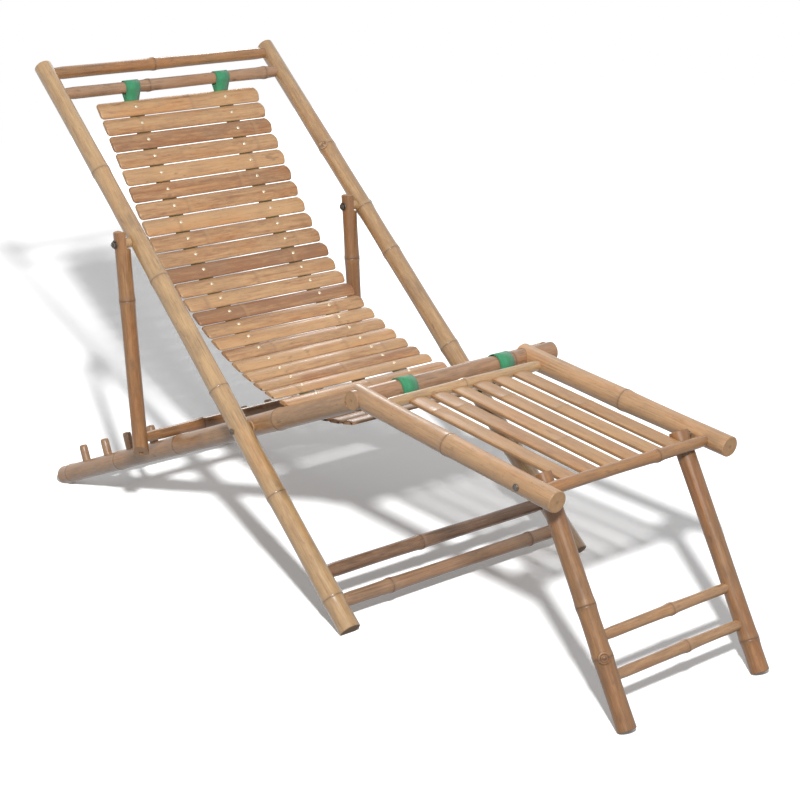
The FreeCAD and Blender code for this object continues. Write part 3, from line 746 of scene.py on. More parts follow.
def bar_outline(length, radius, rings):
    """The outline of a crossbar, whittled thinner where it enters the rails."""
    outline = cane_outline(length, radius, radius, rings, spacing=0.03, bulge=1.0)
    whittled = []
    for reach, height in outline:
        from_end = min(height, length - height)
        keep = WHITTLED + (1 - WHITTLED) * min(1.0, max(0.0, from_end) / SHOULDER) ** 0.5
        whittled.append((reach * keep, height))
    return whittled


def crossbar(node, radius, rings, look, slot, body, seed, tone):
    """A bar across the chair. It stops inside the two rails, which hide its ends."""
    name = node + "_cane"
    low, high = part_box(node)
    point = middle(node)
    start = spot(point, low[1] + BAR_REACH)
    end = spot(point, high[1] - BAR_REACH)
    length = (end - start).length
    rings = [ring - BAR_REACH for ring in rings]
    builder = lathe(bar_outline(length, radius, rings), 28)
    crook(builder, length, seed, BAR_BEND)
    mesh = to_mesh(builder, name)
    paint(mesh, rings, tone, seed)
    smooth(mesh)
    mesh.transform(laid(start, end))
    return dress(show(mesh, name, [look]), body, slot, node)


crossbar("head_bar", HEAD_BAR_RADIUS, (0.254,), BROWN, "golden_culm", "long_frame", 3, 0.62)
crossbar("sling_bar", HEAD_BAR_RADIUS, (0.213, 0.514), DARK, "dark_culm", "long_frame", 4, 0.72)
crossbar("foot_bar_upper", FOOT_BAR_RADIUS, (0.233,), DARK, "dark_culm", "long_frame", 5, 0.36)
crossbar("foot_bar_lower", FOOT_BAR_RADIUS, (0.123, 0.466), DARK, "dark_culm", "long_frame", 6, 0.75)
print("long frame made")

# %% [markdown]
# ## The seat frame
# The seat rails run from the floor behind the chair to the front bar. Four dowels stand on each. In this
# pose the prop bar lies ahead of them. The front bar is the cane that the sitter feels under the knees, so it is thick,
# and both its sawn ends show.

# %% Seat rails, front bar and rear bar
SEAT_RADIUS = 0.021
SEAT_RADII = (SEAT_RADIUS, SEAT_RADIUS * 0.97)
SEAT_RINGS_RIGHT = (0.046, 0.305, 0.588, 0.985)
SEAT_RINGS_LEFT = (0.180, 0.430, 0.700, 1.010)
SEAT_RAIL_LENGTH = 1.228
SEAT_RAIL_OVERRUN = 0.014
SADDLE_REACH = 0.04
FRONT_BAR_RADIUS = 0.018
BAR_BORE = 0.0035
BORE_REACH = 0.015
BORE_SHIFT = (0.002, 0, -0.003)

for side, rings, seed in (("right", SEAT_RINGS_RIGHT, 11), ("left", SEAT_RINGS_LEFT, 12)):
    node = "seat_rail_" + side
    y = middle_y(node)
    head = along(SEAT_REAR, SEAT_ANGLE, SEAT_RAIL_LENGTH + SEAT_RAIL_OVERRUN)
    saddle = cross_rod(FRONT_BAR, y, FRONT_BAR_RADIUS, SADDLE_REACH)
    cane_piece(
        node, spot(SEAT_REAR, y), spot(head, y), SEAT_RADII, rings, ORANGE, seed, "seat_frame", "golden_culm",
        level_foot=True, cutters=[saddle],
    )

low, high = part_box("front_bar")
bore = cross_rod(FRONT_BAR, high[1], BAR_BORE, BORE_REACH, 16)
bmesh.ops.translate(bore, vec=BORE_SHIFT, verts=bore.verts)
cane_piece(
    "front_bar", spot(FRONT_BAR, low[1]), spot(FRONT_BAR, high[1]), (FRONT_BAR_RADIUS, FRONT_BAR_RADIUS),
    (0.105, 0.365), DARK, 13, "seat_frame", "dark_culm", tone=0.62, cutters=[bore],
)
crossbar("rear_bar", REAR_BAR_RADIUS, (0.150, 0.370), DARK, "dark_culm", "seat_frame", 14, 0.4)

# %% Pegs
PEG_RADIUS = 0.0095
PEG_HEIGHT = 0.036
PEG_FIRST = 0.132
PEG_PITCH = 0.114
PEG_COUNT = 4
PEG_TOP = ((1, 0.020), (0.98, 0.006), (0.90, 0.0022), (0.72, 0.0006))


def peg_outline():
    """A dowel with a rounded, slightly worn top."""
    top = PEG_HEIGHT + SEAT_RADIUS
    worn = [(PEG_RADIUS * share, top - below) for share, below in PEG_TOP]
    return [(0, 0), (PEG_RADIUS, 0), *worn, (0, top)]


def joined(builders, name):
    """One mesh from several builders, each already in its place."""
    whole = bmesh.new()
    for builder in builders:
        part = to_mesh(builder, "part")
        whole.from_mesh(part)
        bpy.data.meshes.remove(part)
    return to_mesh(whole, name)


def peg(y, number):
    foot = along(SEAT_REAR, SEAT_ANGLE, PEG_FIRST + number * PEG_PITCH)
    top = along(foot, SEAT_ANGLE, 0, PEG_HEIGHT)
    return lathe_between(peg_outline(), 20, spot(foot, y), spot(top, y))


rail_planes = (middle_y("seat_rail_right"), middle_y("seat_rail_left"))
pegs = joined([peg(y, number) for y in rail_planes for number in range(PEG_COUNT)], "pegs")
paint(pegs, (), 0.45, 15)
smooth(pegs, 50)
dress(show(pegs, "pegs", [PEG]), "seat_frame", "peg_wood", "rail_pegs")
print("seat frame made")

# %% [markdown]
# ## The prop frame
# Two short canes hang on bolts from the long rails, outside the right one and inside the left one. At the top
# each is halved on the side of the rail, and the saw has opened the hollow of the cane, which shows as a
# dark hole on the shelf of the cut. The foot is cut slanting, so that the hollow shows there too.

# %% Props and prop bar
PROP_RADIUS = 0.016
PROP_ABOVE_HINGE = 0.024
PROP_BELOW_BAR = 0.036
PROP_LAP = 0.036
PROP_LAP_FLAT = 0.001
CANE_HOLLOW = 0.008
WELL_ABOVE = 0.012
WELL_BELOW = 0.014
PROP_RING = 0.138
PROP_EYE = 0.0048
PROP_HEEL = 0.004
PROP_HEEL_CUT = (0.60, 0.50, -0.63)
LAP_OVERRUN = 0.05
LAP_BLOCK = (0.08, 0.04, PROP_LAP + LAP_OVERRUN)
WEDGE = (0.12, 0.12, 0.06)
EYE_DEPTH = 0.05
SIDES = (("right", -1), ("left", 1))
prop_angle = math.degrees(math.atan2(PROP_BAR[1] - HINGE[1], PROP_BAR[0] - HINGE[0]))
top = along(HINGE, prop_angle, -PROP_ABOVE_HINGE)
foot = along(PROP_BAR, prop_angle, PROP_BELOW_BAR)
heel = along(foot, prop_angle, -PROP_HEEL)
lap_middle = along(top, prop_angle, (PROP_LAP - LAP_OVERRUN) / 2)
well_start = along(top, prop_angle, PROP_LAP - WELL_ABOVE)
well_end = along(top, prop_angle, PROP_LAP + WELL_BELOW)

for (side, outward), seed, tone in zip(SIDES, (21, 22), (0.5, 0.26)):
    node = "prop_" + side
    y = middle_y(node)
    half = block(LAP_BLOCK, spot(lap_middle, y + PROP_LAP_FLAT + LAP_BLOCK[1] / 2))
    well = rod(CANE_HOLLOW, WELL_ABOVE + WELL_BELOW, laid(spot(well_start, y), spot(well_end, y)), 20)
    aim = Vector((PROP_HEEL_CUT[0], outward * PROP_HEEL_CUT[1], PROP_HEEL_CUT[2]))
    wedge = moved(block(WEDGE, (0, 0, WEDGE[2] / 2)), laid(spot(heel, y), spot(heel, y) + aim))
    eye = rod(PROP_EYE, EYE_DEPTH, laid(spot(heel, y), spot(foot, y)), 16)
    bmesh.ops.translate(eye, vec=spot(heel, 0) - spot(foot, 0), verts=eye.verts)
    cane_piece(
        node, spot(top, y), spot(foot, y), (PROP_RADIUS, PROP_RADIUS), (PROP_RING,), BROWN, seed,
        "prop_frame", "golden_culm", tone=tone, cutters=[half, well, wedge, eye],
    )
crossbar("prop_bar", PROP_BAR_RADIUS, (0.150, 0.380), BROWN, "golden_culm", "prop_frame", 23, 0.45)
print("prop frame made")

# %% [markdown]
# ## The footrest
# Its two rails are hollowed underneath so that they sit over the front bar, with a short tongue behind it.
# Two thin bars carry six split canes. The legs hang on screws inside the rails and fold back under them.

# %% Footrest rails
FOOTREST_RAISE = 0.0015
FOOTREST_TONGUE = 0.015
FOOTREST_LENGTH = 0.485
FOOTREST_RADII = (0.0205, 0.018)
FOOTREST_BAR_RADIUS = 0.0105
TONGUE_RISE = 0.006
SADDLE_RADIUS = FRONT_BAR_RADIUS + 0.0003
SLOT_BLOCK = (2 * SADDLE_RADIUS, 0.08, 0.06)
HEEL_BLOCK = (0.06, 0.08, 0.08)
FOOTREST_START = (FRONT_BAR[0], FRONT_BAR[1] + FOOTREST_RAISE)
FOOTREST_REAR = along(FOOTREST_START, -FOOTREST_ANGLE, -FOOTREST_TONGUE)
FOOTREST_FRONT = along(FOOTREST_START, -FOOTREST_ANGLE, FOOTREST_LENGTH)

for side, ring, seed in (("right", 0.250, 31), ("left", 0.265, 32)):
    node = "footrest_rail_" + side
    y = middle_y(node)
    saddle = cross_rod(FRONT_BAR, y, SADDLE_RADIUS, SADDLE_REACH, 40)
    slot = block(SLOT_BLOCK, spot((FRONT_BAR[0], FRONT_BAR[1] - SLOT_BLOCK[2] / 2), y))
    behind = (FRONT_BAR[0] - HEEL_BLOCK[0] / 2, FRONT_BAR[1] + TONGUE_RISE - HEEL_BLOCK[2] / 2)
    behind = block(HEEL_BLOCK, spot(behind, y))
    cane_piece(
        node, spot(FOOTREST_REAR, y), spot(FOOTREST_FRONT, y), FOOTREST_RADII, (ring,), ORANGE, seed,
        "footrest", "orange_culm", tone=0.62, cutters=[saddle, slot, behind],
    )
crossbar("footrest_rear_bar", FOOTREST_BAR_RADIUS, (0.190,), GOLDEN, "orange_culm", "footrest", 33, 0.55)
crossbar("footrest_front_bar", FOOTREST_BAR_RADIUS, (0.256,), BROWN, "orange_culm", "footrest", 34, 0.6)

# %% Footrest legs
LEG_RADIUS = 0.016
LEG_BAR_RADIUS = 0.0095
LEG_ABOVE_SCREW = 0.010
LEG_FOOT_HEIGHT = 0.0045
leg_top = along(LEG_PIVOT, -LEG_ANGLE, -LEG_ABOVE_SCREW)
leg_length = (LEG_PIVOT[1] - LEG_FOOT_HEIGHT) / math.sin(math.radians(LEG_ANGLE))
leg_foot = along(LEG_PIVOT, -LEG_ANGLE, leg_length)
leg_whole = leg_length + LEG_ABOVE_SCREW
LEG_SCARS = ((leg_whole - 0.298, (0.80, -0.55, 0.25)),)

for side, rings, seed, scars in (("right", (0.215, 0.298), 35, LEG_SCARS), ("left", (0.358,), 36, ())):
    node = "leg_" + side
    y = middle_y(node)
    rings = [leg_whole - ring for ring in rings]
    cane_piece(
        node, spot(leg_foot, y), spot(leg_top, y), (LEG_RADIUS, LEG_RADIUS), rings, BROWN, seed,
        "footrest_legs", "orange_culm", tone=0.42, level_foot=True, scars=scars,
    )
crossbar("leg_bar_upper", LEG_BAR_RADIUS, (0.164,), ORANGE, "orange_culm", "footrest_legs", 37, 0.45)
crossbar("leg_bar_lower", LEG_BAR_RADIUS, (0.170,), ORANGE, "orange_culm", "footrest_legs", 38, 0.45)
print("footrest made")

# %% [markdown]
# ## Split canes
# A slat is a strip split from a thick cane: flat beneath, crowned on top, thin at its two long edges and
# rounded at the ends. One cross-section is drawn and extruded in steps, and each step is made narrower as it
# comes to the end, so the corners turn round. A node of the cane crosses most slats as a dark line and
# a slight ridge.

# %% Helpers for slats
SLAT_LENGTH = 0.390
UPPER_SLATS = 11
UPPER_SLAT_LENGTH = 0.400
SLAT_WIDTH = 0.0375
SLAT_CROWN = 0.008
SLAT_EDGE = 0.003
SLAT_CORNER = 0.0075
CROWN_STEPS = 9
FILLET = 0.0007
NODE_RIDGE = 0.0006
RIDGE_REACH = 0.006
CORNER_SHARES = (0, 0.12, 0.35, 0.65, 1.0)
EVEN_SHARES = (-0.75, -0.5, -0.25, 0, 0.25, 0.5, 0.75)
RIDGE_OFFSETS = (-RIDGE_REACH, -0.002, 0, 0.002, RIDGE_REACH)


def slat_section(width, crown, edge):
    """Points (x, z) round a slat's cross-section, from its lower left corner."""
    half = width / 2
    points = [(-half + FILLET, 0), (half - FILLET, 0), (half, FILLET), (half, edge - FILLET)]
    for step in range(CROWN_STEPS + 1):
        share = 1 - 2 * (step + 0.5) / (CROWN_STEPS + 1)
        points.append((half * share, edge + (crown - edge) * (1 - share * share)))
    points.append((-half, edge - FILLET))
    points.append((-half, FILLET))
    return points


def slat_stations(length, nodes):
    """Where along a slat its cross-sections stand."""
    half = length / 2
    ends = [half - SLAT_CORNER * share for share in CORNER_SHARES]
    stations = set(ends) | {-end for end in ends}
    stations.update(half * share for share in EVEN_SHARES)
    for node in nodes:
        stations.update(node + offset for offset in RIDGE_OFFSETS)
    return sorted(stations)


def corner_share(station, length, width):
    """How much of the full width a slat still has at a station."""
    from_end = length / 2 - abs(station)
    if from_end >= SLAT_CORNER:
        return 1.0
    reach = 1 - from_end / SLAT_CORNER
    return 1 - (1 - math.sqrt(max(0.0, 1 - reach * reach))) * SLAT_CORNER / (width / 2)


def slat_body(length, width, crown, edge, nodes):
    builder = bmesh.new()
    stations = slat_stations(length, nodes)
    section = slat_section(width, crown, edge)
    corners = [builder.verts.new((x, stations[0], z)) for x, z in section]
    face = builder.faces.new(corners)
    share = corner_share(stations[0], length, width)
    bmesh.ops.scale(builder, vec=(share, 1, 1), verts=corners)
    for before, station in zip(stations, stations[1:]):
        grown = bmesh.ops.extrude_face_region(builder, geom=[face])["geom"]
        face = next(item for item in grown if isinstance(item, bmesh.types.BMFace))
        fresh = [item for item in grown if isinstance(item, bmesh.types.BMVert)]
        next_share = corner_share(station, length, width)
        bmesh.ops.translate(builder, vec=(0, station - before, 0), verts=fresh)
        bmesh.ops.scale(builder, vec=(next_share / share, 1, 1), verts=fresh)
        share = next_share
    for vertex in builder.verts:
        ridge = max([1 - abs(vertex.co.y - node) / RIDGE_REACH for node in nodes] + [0])
        if vertex.co.z > edge:
            vertex.co.z += NODE_RIDGE * ridge
    inner = [item for item in builder.faces if abs(item.normal.y) > 0.9 and not on_end(item, length)]
    bmesh.ops.delete(builder, geom=inner, context="FACES_ONLY")
    bmesh.ops.recalc_face_normals(builder, faces=builder.faces)
    return builder


def on_end(face, length):
    return abs(abs(face.calc_center_median().y) - length / 2) < 1e-5


# %% [markdown]
# ## The sling
# The sling hangs straight from the sling bar for 29 cm and then in one arc under the sitter, up to the front
# bar. Slats lie on it at an even pitch of 4 cm, with one wider gap where the seat folds against the back.
# Each slat has its own tone, light or dark, as in the picture.

# %% The sling's curve
RUN_ANGLE = 55.3
ARC_RADIUS = 0.7254
ARC_CENTRE = (PIVOT[0] + 0.1364, 1.0869)
RUN_END = along(ARC_CENTRE, -90 - RUN_ANGLE, ARC_RADIUS)
RUN_LENGTH = (SLING_BAR[1] - RUN_END[1]) / math.sin(math.radians(RUN_ANGLE))
SLAT_FIRST = 0.049
SLAT_PITCH = 0.04025
FOLD_GAP = 0.011
BACK_SLATS = 21
SEAT_SLATS = 6
STRAP_HALF_SPACING = 0.113
STRAP_Y_HEAD = 0.00475
STRAP_Y_FOLD = -0.02325
STRAP_Y_FRONT = -0.026
FOLD = joint_place("sling_fold")
SLAT_DRIFT = 0.75
SLAT_TILT = 0.8
SLAT_NODE_REACH = 0.16
TONE_SPREAD = 0.05
MIDLINE = (middle_y("long_rail_right") + middle_y("long_rail_left")) / 2


def sling_point(station, depth=0.0):
    """A point on the crowns of the slats or a depth below them, and the slope there."""
    if station < RUN_LENGTH:
        return along(RUN_END, -RUN_ANGLE, station - RUN_LENGTH, -depth), -RUN_ANGLE
    slope = math.degrees((station - RUN_LENGTH) / ARC_RADIUS) - RUN_ANGLE
    return along(ARC_CENTRE, slope - 90, ARC_RADIUS + depth), slope


def slat_station(number):
    station = SLAT_FIRST + (number - 1) * SLAT_PITCH
    if number > BACK_SLATS:
        station += FOLD_GAP - (SLAT_PITCH - SLAT_WIDTH)
    return station


def strap_y(x, side):
    """The straps run slightly askew down the back, and nearly straight under the seat."""
    if x < FOLD[0]:
        share = (x - SLING_BAR[0]) / (FOLD[0] - SLING_BAR[0])
        y = STRAP_Y_HEAD + share * (STRAP_Y_FOLD - STRAP_Y_HEAD)
    else:
        share = (x - FOLD[0]) / (FRONT_BAR[0] - FOLD[0])
        y = STRAP_Y_FOLD + share * (STRAP_Y_FRONT - STRAP_Y_FOLD)
    return MIDLINE + y + side * STRAP_HALF_SPACING


# %% Sling slats
LIGHT = 0.68
TAN = 0.54
RUST = 0.38
UMBER = 0.30
SLAT_TONES = (
    LIGHT, TAN, RUST, TAN, LIGHT, RUST, TAN, LIGHT, TAN, TAN, UMBER, TAN, TAN, RUST,
    TAN, LIGHT, TAN, LIGHT, LIGHT, TAN, LIGHT, TAN, TAN, TAN, TAN, TAN, TAN,
)


def sling_slat(number):
    chance = random.Random(100 + number)
    nodes = [chance.uniform(-SLAT_NODE_REACH, SLAT_NODE_REACH)]
    name = "%s_slat_%02d" % ("back" if number <= BACK_SLATS else "seat", number)
    length = UPPER_SLAT_LENGTH if number <= UPPER_SLATS else SLAT_LENGTH
    mesh = to_mesh(slat_body(length, SLAT_WIDTH, SLAT_CROWN, SLAT_EDGE, nodes), name)
    tone = SLAT_TONES[number - 1] + chance.uniform(-TONE_SPREAD, TONE_SPREAD)
    paint(mesh, nodes, tone, 40 + number, swap=True)
    smooth(mesh, 50)
    point, slope = sling_point(slat_station(number), SLAT_CROWN)
    y = MIDLINE + SLAT_DRIFT * (strap_y(point[0], 0) - MIDLINE)
    slope += chance.uniform(-SLAT_TILT, SLAT_TILT)
    turn = Matrix.Rotation(math.radians(-slope), 4, "Y")
    mesh.transform(Matrix.Translation(spot(point, y)) @ turn)
    slat = show(mesh, name + "_board", [SLAT])
    body = "long_frame" if number <= BACK_SLATS else "sling_seat"
    return dress(slat, body, "sling_slat_bamboo", name)


slats = [sling_slat(number) for number in range(1, BACK_SLATS + SEAT_SLATS + 1)]
print("sling slats:", len(slats), "faces each:", len(slats[0].data.polygons))

# %% Footrest slats
FOOTREST_SLATS = 6
FOOTREST_SLAT_PITCH = 0.0475
FOOTREST_SLAT_WIDTH = 0.033
FOOTREST_SLAT_THICKNESS = 0.008
FOOTREST_SLAT_EDGE = 0.0060
FOOTREST_SLAT_SHIFT = 0.0025
FOOTREST_SLAT_INSET = 0.010
FOOTREST_NODE_REACH = 0.14
FOOTREST_TONES = (0.58, 0.50, 0.62, 0.55, 0.66, 0.52)


def taper(builder, length, seed):
    """Makes a slat a little wider at one end, as split cane is."""
    chance = random.Random(seed)
    lean = chance.uniform(-0.10, 0.10)
    drift = chance.uniform(-0.002, 0.002)
    for vertex in builder.verts:
        share = vertex.co.y / length
        vertex.co.x = vertex.co.x * (1 + lean * share) + drift * share


def footrest_slat(number):
    rear = middle("footrest_rear_bar")
    front = middle("footrest_front_bar")
    length = math.hypot(front[0] - rear[0], front[1] - rear[1]) - FOOTREST_SLAT_INSET
    nodes = [random.Random(200 + number).uniform(-FOOTREST_NODE_REACH, FOOTREST_NODE_REACH)]
    builder = slat_body(length, FOOTREST_SLAT_WIDTH, FOOTREST_SLAT_THICKNESS, FOOTREST_SLAT_EDGE, nodes)
    taper(builder, length, 200 + number)
    mesh = to_mesh(builder, "part")
    paint(mesh, nodes, FOOTREST_TONES[number], 80 + number, swap=True)
    smooth(mesh, 50)
    rails = (middle_y("footrest_rail_right"), middle_y("footrest_rail_left"))
    row = number - (FOOTREST_SLATS - 1) / 2
    y = sum(rails) / 2 + FOOTREST_SLAT_SHIFT + row * FOOTREST_SLAT_PITCH
    centre = ((rear[0] + front[0]) / 2, (rear[1] + front[1]) / 2)
    centre = along(centre, -FOOTREST_ANGLE, 0, -FOOTREST_SLAT_THICKNESS / 2)
    turn = Matrix.Rotation(math.radians(FOOTREST_ANGLE), 4, "Y") @ Matrix.Rotation(-math.pi / 2, 4, "Z")
    mesh.transform(Matrix.Translation(spot(centre, y)) @ turn)
    return mesh


def merged(meshes, name):
    """Several painted meshes joined into one, with their attributes kept."""
    pieces = [add_object("part", mesh) for mesh in meshes]
    with bpy.context.temp_override(active_object=pieces[0], selected_editable_objects=pieces):
        bpy.ops.object.join()
    pieces[0].name = name
    return pieces[0]


boards = merged([footrest_slat(number) for number in range(FOOTREST_SLATS)], "footrest_boards")
boards.data.materials.append(FOOT_SLAT)
dress(boards, "footrest", "footrest_slat_bamboo", "footrest_slats")

# %% [markdown]
# ## Webbing straps
# A strap is one flat ribbon. It starts as a short tail under the first slats, goes over the sling bar, comes
# back and runs on under every slat. The ribbon is a single edge extruded from point to point, with a texture
# map in metres, so that the weave keeps its size, and a Solidify modifier gives it its thickness.

# %% Helpers for straps
STRAP_THICKNESS = 0.0015
STRAP_GAP = 0.0002
LOOP_STEPS = 18


def circle_point(centre, radius, degrees):
    turn = math.radians(degrees)
    return (centre[0] + radius * math.cos(turn), centre[1] + radius * math.sin(turn))


def round_bar(centre, radius, outside):
    """Points from a point outside a bar, round the bar, and back towards that point."""
    away = math.degrees(math.atan2(outside[1] - centre[1], outside[0] - centre[0]))
    distance = math.hypot(outside[0] - centre[0], outside[1] - centre[1])
    open_half = math.degrees(math.acos(radius / distance))
    start = away + open_half
    sweep = 360 - 2 * open_half
    return [circle_point(centre, radius, start + sweep * step / LOOP_STEPS) for step in range(LOOP_STEPS + 1)]


def ribbon(path, side, name):
    """A strap along a path of (x, z) points."""
    builder = bmesh.new()
    uv = builder.loops.layers.uv.new("strap")
    first = spot(path[0], strap_y(path[0][0], side))
    across = Vector((0, STRAP_WIDTH / 2, 0))
    edge = builder.edges.new((builder.verts.new(first - across), builder.verts.new(first + across)))
    distance = 0.0
    for before, after in zip(path, path[1:]):
        grown = bmesh.ops.extrude_edge_only(builder, edges=[edge])["geom"]
        fresh = [item for item in grown if isinstance(item, bmesh.types.BMVert)]
        edge = next(
            item for item in grown if isinstance(item, bmesh.types.BMEdge) and set(item.verts) == set(fresh)
        )
        face = next(item for item in grown if isinstance(item, bmesh.types.BMFace))
        old = spot(before, strap_y(before[0], side))
        new = spot(after, strap_y(after[0], side))
        bmesh.ops.translate(builder, vec=new - old, verts=fresh)
        step = (new - old).length
        for loop in face.loops:
            reach = 0 if loop.vert.co.y < new.y and loop.vert.co.y < old.y + 0.001 else STRAP_WIDTH
            loop[uv].uv = (reach, distance + (step if loop.vert in fresh else 0))
        distance += step
    bmesh.ops.recalc_face_normals(builder, faces=builder.faces)
    return to_mesh(builder, name), distance


def thicken(piece):
    """Gives a ribbon its thickness and applies it."""
    modifier = piece.modifiers.new("thickness", "SOLIDIFY")
    modifier.thickness = STRAP_THICKNESS
    modifier.offset = 0
    modifier.use_even_offset = True
    graph = bpy.context.evaluated_depsgraph_get()
    mesh = bpy.data.meshes.new_from_object(piece.evaluated_get(graph))
    piece.modifiers.clear()
    piece.data = mesh


# Past the first distance from the bars the strap is painted darker, for the slats' shade and for soiling. It fades in
# over the second distance.
SOIL_AND_SHADE_START = 0.030
SOIL_AND_SHADE_FADE = 0.012


def soil_and_shade(mesh):
    """Marks the part of a strap that lies under the slats, away from both bars, to be painted darker for the slats'
    shade and for soiling.
    """
    share = []
    for vertex in mesh.vertices:
        point = (vertex.co.x, vertex.co.z)
        reach = min(math.dist(point, SLING_BAR), math.dist(point, FRONT_BAR))
        share.append(min(max((reach - SOIL_AND_SHADE_START) / SOIL_AND_SHADE_FADE, 0.0), 1.0))
    store(mesh, "soiled_and_shaded", "FLOAT", share)


def both_straps(path, mesh_name, name):
    """The same path drawn on both sides as one thick piece of webbing, and the length of each ribbon."""
    ribbons = [ribbon(path, side, mesh_name) for side in (-1, 1)]
    piece = merged([mesh for mesh, length in ribbons], name)
    smooth(piece.data, 60)
    piece.data.materials.append(WEBBING)
    thicken(piece)
    return piece, [length for mesh, length in ribbons]


# %% Straps under the slats
STRAP_DEPTH = SLAT_CROWN + STRAP_THICKNESS / 2
TAIL_LENGTH = 0.045
TAIL_START = 0.006
TAIL_DEPTH = STRAP_DEPTH + STRAP_THICKNESS * 1.15
STRAP_END_GAP = 0.0035
STRAP_END_ANGLE = -118
STRAP_SAG = 0.001
LAST_SLAT = BACK_SLATS + SEAT_SLATS


def strap_path():
    path = []
    half = SLAT_WIDTH / 2
    for number in range(1, LAST_SLAT + 1):
        point, slope = sling_point(slat_station(number), STRAP_DEPTH)
        path.extend(along(point, slope, reach) for reach in (-half, 0, half))
    return path


def whole_strap():
    """Tail, loop round the sling bar, and the long run to the front."""
    path = strap_path()
    loop = round_bar(SLING_BAR, HEAD_BAR_RADIUS + STRAP_THICKNESS / 2 + STRAP_GAP, path[0])
    tail = []
    for reach in (TAIL_LENGTH, TAIL_LENGTH / 2, TAIL_START):
        station = slat_station(1) - SLAT_WIDTH / 2 + reach
        tail.append(sling_point(station, TAIL_DEPTH)[0])
    end = circle_point(FRONT_BAR, FRONT_BAR_RADIUS + STRAP_END_GAP, STRAP_END_ANGLE)
    last = path[-1]
    bend = ((last[0] * 2 + end[0]) / 3, (last[1] * 2 + end[1]) / 3 - STRAP_SAG)
    return tail + loop[::-1] + path + [bend, end]


sling_straps, lengths = both_straps(whole_strap(), "sling_strap", "sling_straps")
# The run under the slats gets the painted shade and soiling.
soil_and_shade(sling_straps.data)
fold_low = sling_point(slat_station(BACK_SLATS), STRAP_DEPTH)[0]
fold_high = sling_point(slat_station(BACK_SLATS + 1), STRAP_DEPTH)[0]
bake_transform(sling_straps)
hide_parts("back_straps", "seat_straps")
print("strap lengths", [round(length, 3) for length in lengths])

# %% Loops on the front bar
LOOP_SLACK = 0.0014
LOOP_TIP = 0.040

last = sling_point(slat_station(LAST_SLAT) + SLAT_WIDTH / 2, STRAP_DEPTH)[0]
toward = math.degrees(math.atan2(last[1] - FRONT_BAR[1], last[0] - FRONT_BAR[0]))
tip = circle_point(FRONT_BAR, LOOP_TIP, toward)
loop = round_bar(FRONT_BAR, FRONT_BAR_RADIUS + STRAP_THICKNESS / 2 + LOOP_SLACK, tip)
front_loops, lengths = both_straps([tip] + loop + [tip], "front_loop", "front_bar_loops")
# The loops on the front bar get no painted shade or soiling.
store(front_loops.data, "soiled_and_shaded", "FLOAT", [0.0] * len(front_loops.data.vertices))
dress(front_loops, "seat_frame", "webbing", "front_loops")
print("front loop length", round(lengths[-1], 3))

# %% [markdown]
# ## Rivets, bolts and screws
# Small fasteners are lathe work too: a domed rivet on each slat over each strap, bolts with six-sided nuts at
# the pivots, and round-headed screws for the legs. Bamboo collars keep the canes apart.

# %% Rivets
RIVET_RADIUS = 0.0042
RIVET_HEIGHT = 0.0016
RIVET_SHANK = 0.0012
RIVET_DOME = ((1, 0), (0.8, 0.65), (0.4, 0.95), (0, 1))
BOLT_DOME = ((1, 0.35), (0.85, 0.72), (0.5, 0.95), (0, 1))


def dome(shape, radius, height, shank=0.0):
    """The outline of a domed head: a shape of (radius, height) shares above a short shank."""
    outline = [(radius * across, shank + height * up) for across, up in shape]
    return [(0, 0), (radius, 0), *outline]


def rivet(number, side):
    point, slope = sling_point(slat_station(number))
    base = along(point, slope + 90, -RIVET_SHANK)
    y = strap_y(point[0], side)
    outline = dome(RIVET_DOME, RIVET_RADIUS, RIVET_HEIGHT, RIVET_SHANK)
    return lathe_between(outline, 12, spot(base, y), spot(along(point, slope + 90, 0.01), y))


def rivet_row(name, numbers, body, node):
    mesh = joined([rivet(number, side) for number in numbers for side in (-1, 1)], name)
    smooth(mesh, 50)
    return dress(show(mesh, name, [RIVET]), body, "rivet_metal", node)


rivet_row("back_rivet_heads", range(1, BACK_SLATS + 1), "long_frame", "back_rivets")
rivet_row("seat_rivet_heads", range(BACK_SLATS + 1, LAST_SLAT + 1), "sling_seat", "seat_rivets")


# %% Shapes of bolts, nuts and collars
def turned(point, y_start, y_end, radius, rounding=0.0008):
    """A short turned part across the chair, with rounded edges."""
    length = abs(y_end - y_start)
    edge = radius - rounding
    wall = [(edge, 0), (radius, rounding), (radius, length - rounding), (edge, length)]
    return lathe_between([(0, 0), *wall, (0, length)], 24, spot(point, y_start), spot(point, y_end))


def domed(point, y_start, side, radius, height):
    """A round screw or bolt head that faces outwards."""
    outline = dome(BOLT_DOME, radius, height)
    return lathe_between(outline, 24, spot(point, y_start), spot(point, y_start + side))


def nut(point, y_start, y_end, radius):
    builder = prism(radius, abs(y_end - y_start), 6)
    edges = builder.edges[:]
    bmesh.ops.bevel(builder, geom=edges, offset=0.0006, segments=2, profile=0.5, affect="EDGES", material=-1)
    return moved(builder, laid(spot(point, (y_start + y_end) / 2), spot(point, y_end + (y_end - y_start))))


def fasteners(name, builders, body, slot, look, node):
    mesh = joined(builders, name)
    paint(mesh, (), 0.5, 90)
    smooth(mesh, 35)
    return dress(show(mesh, name, [look]), body, slot, node)


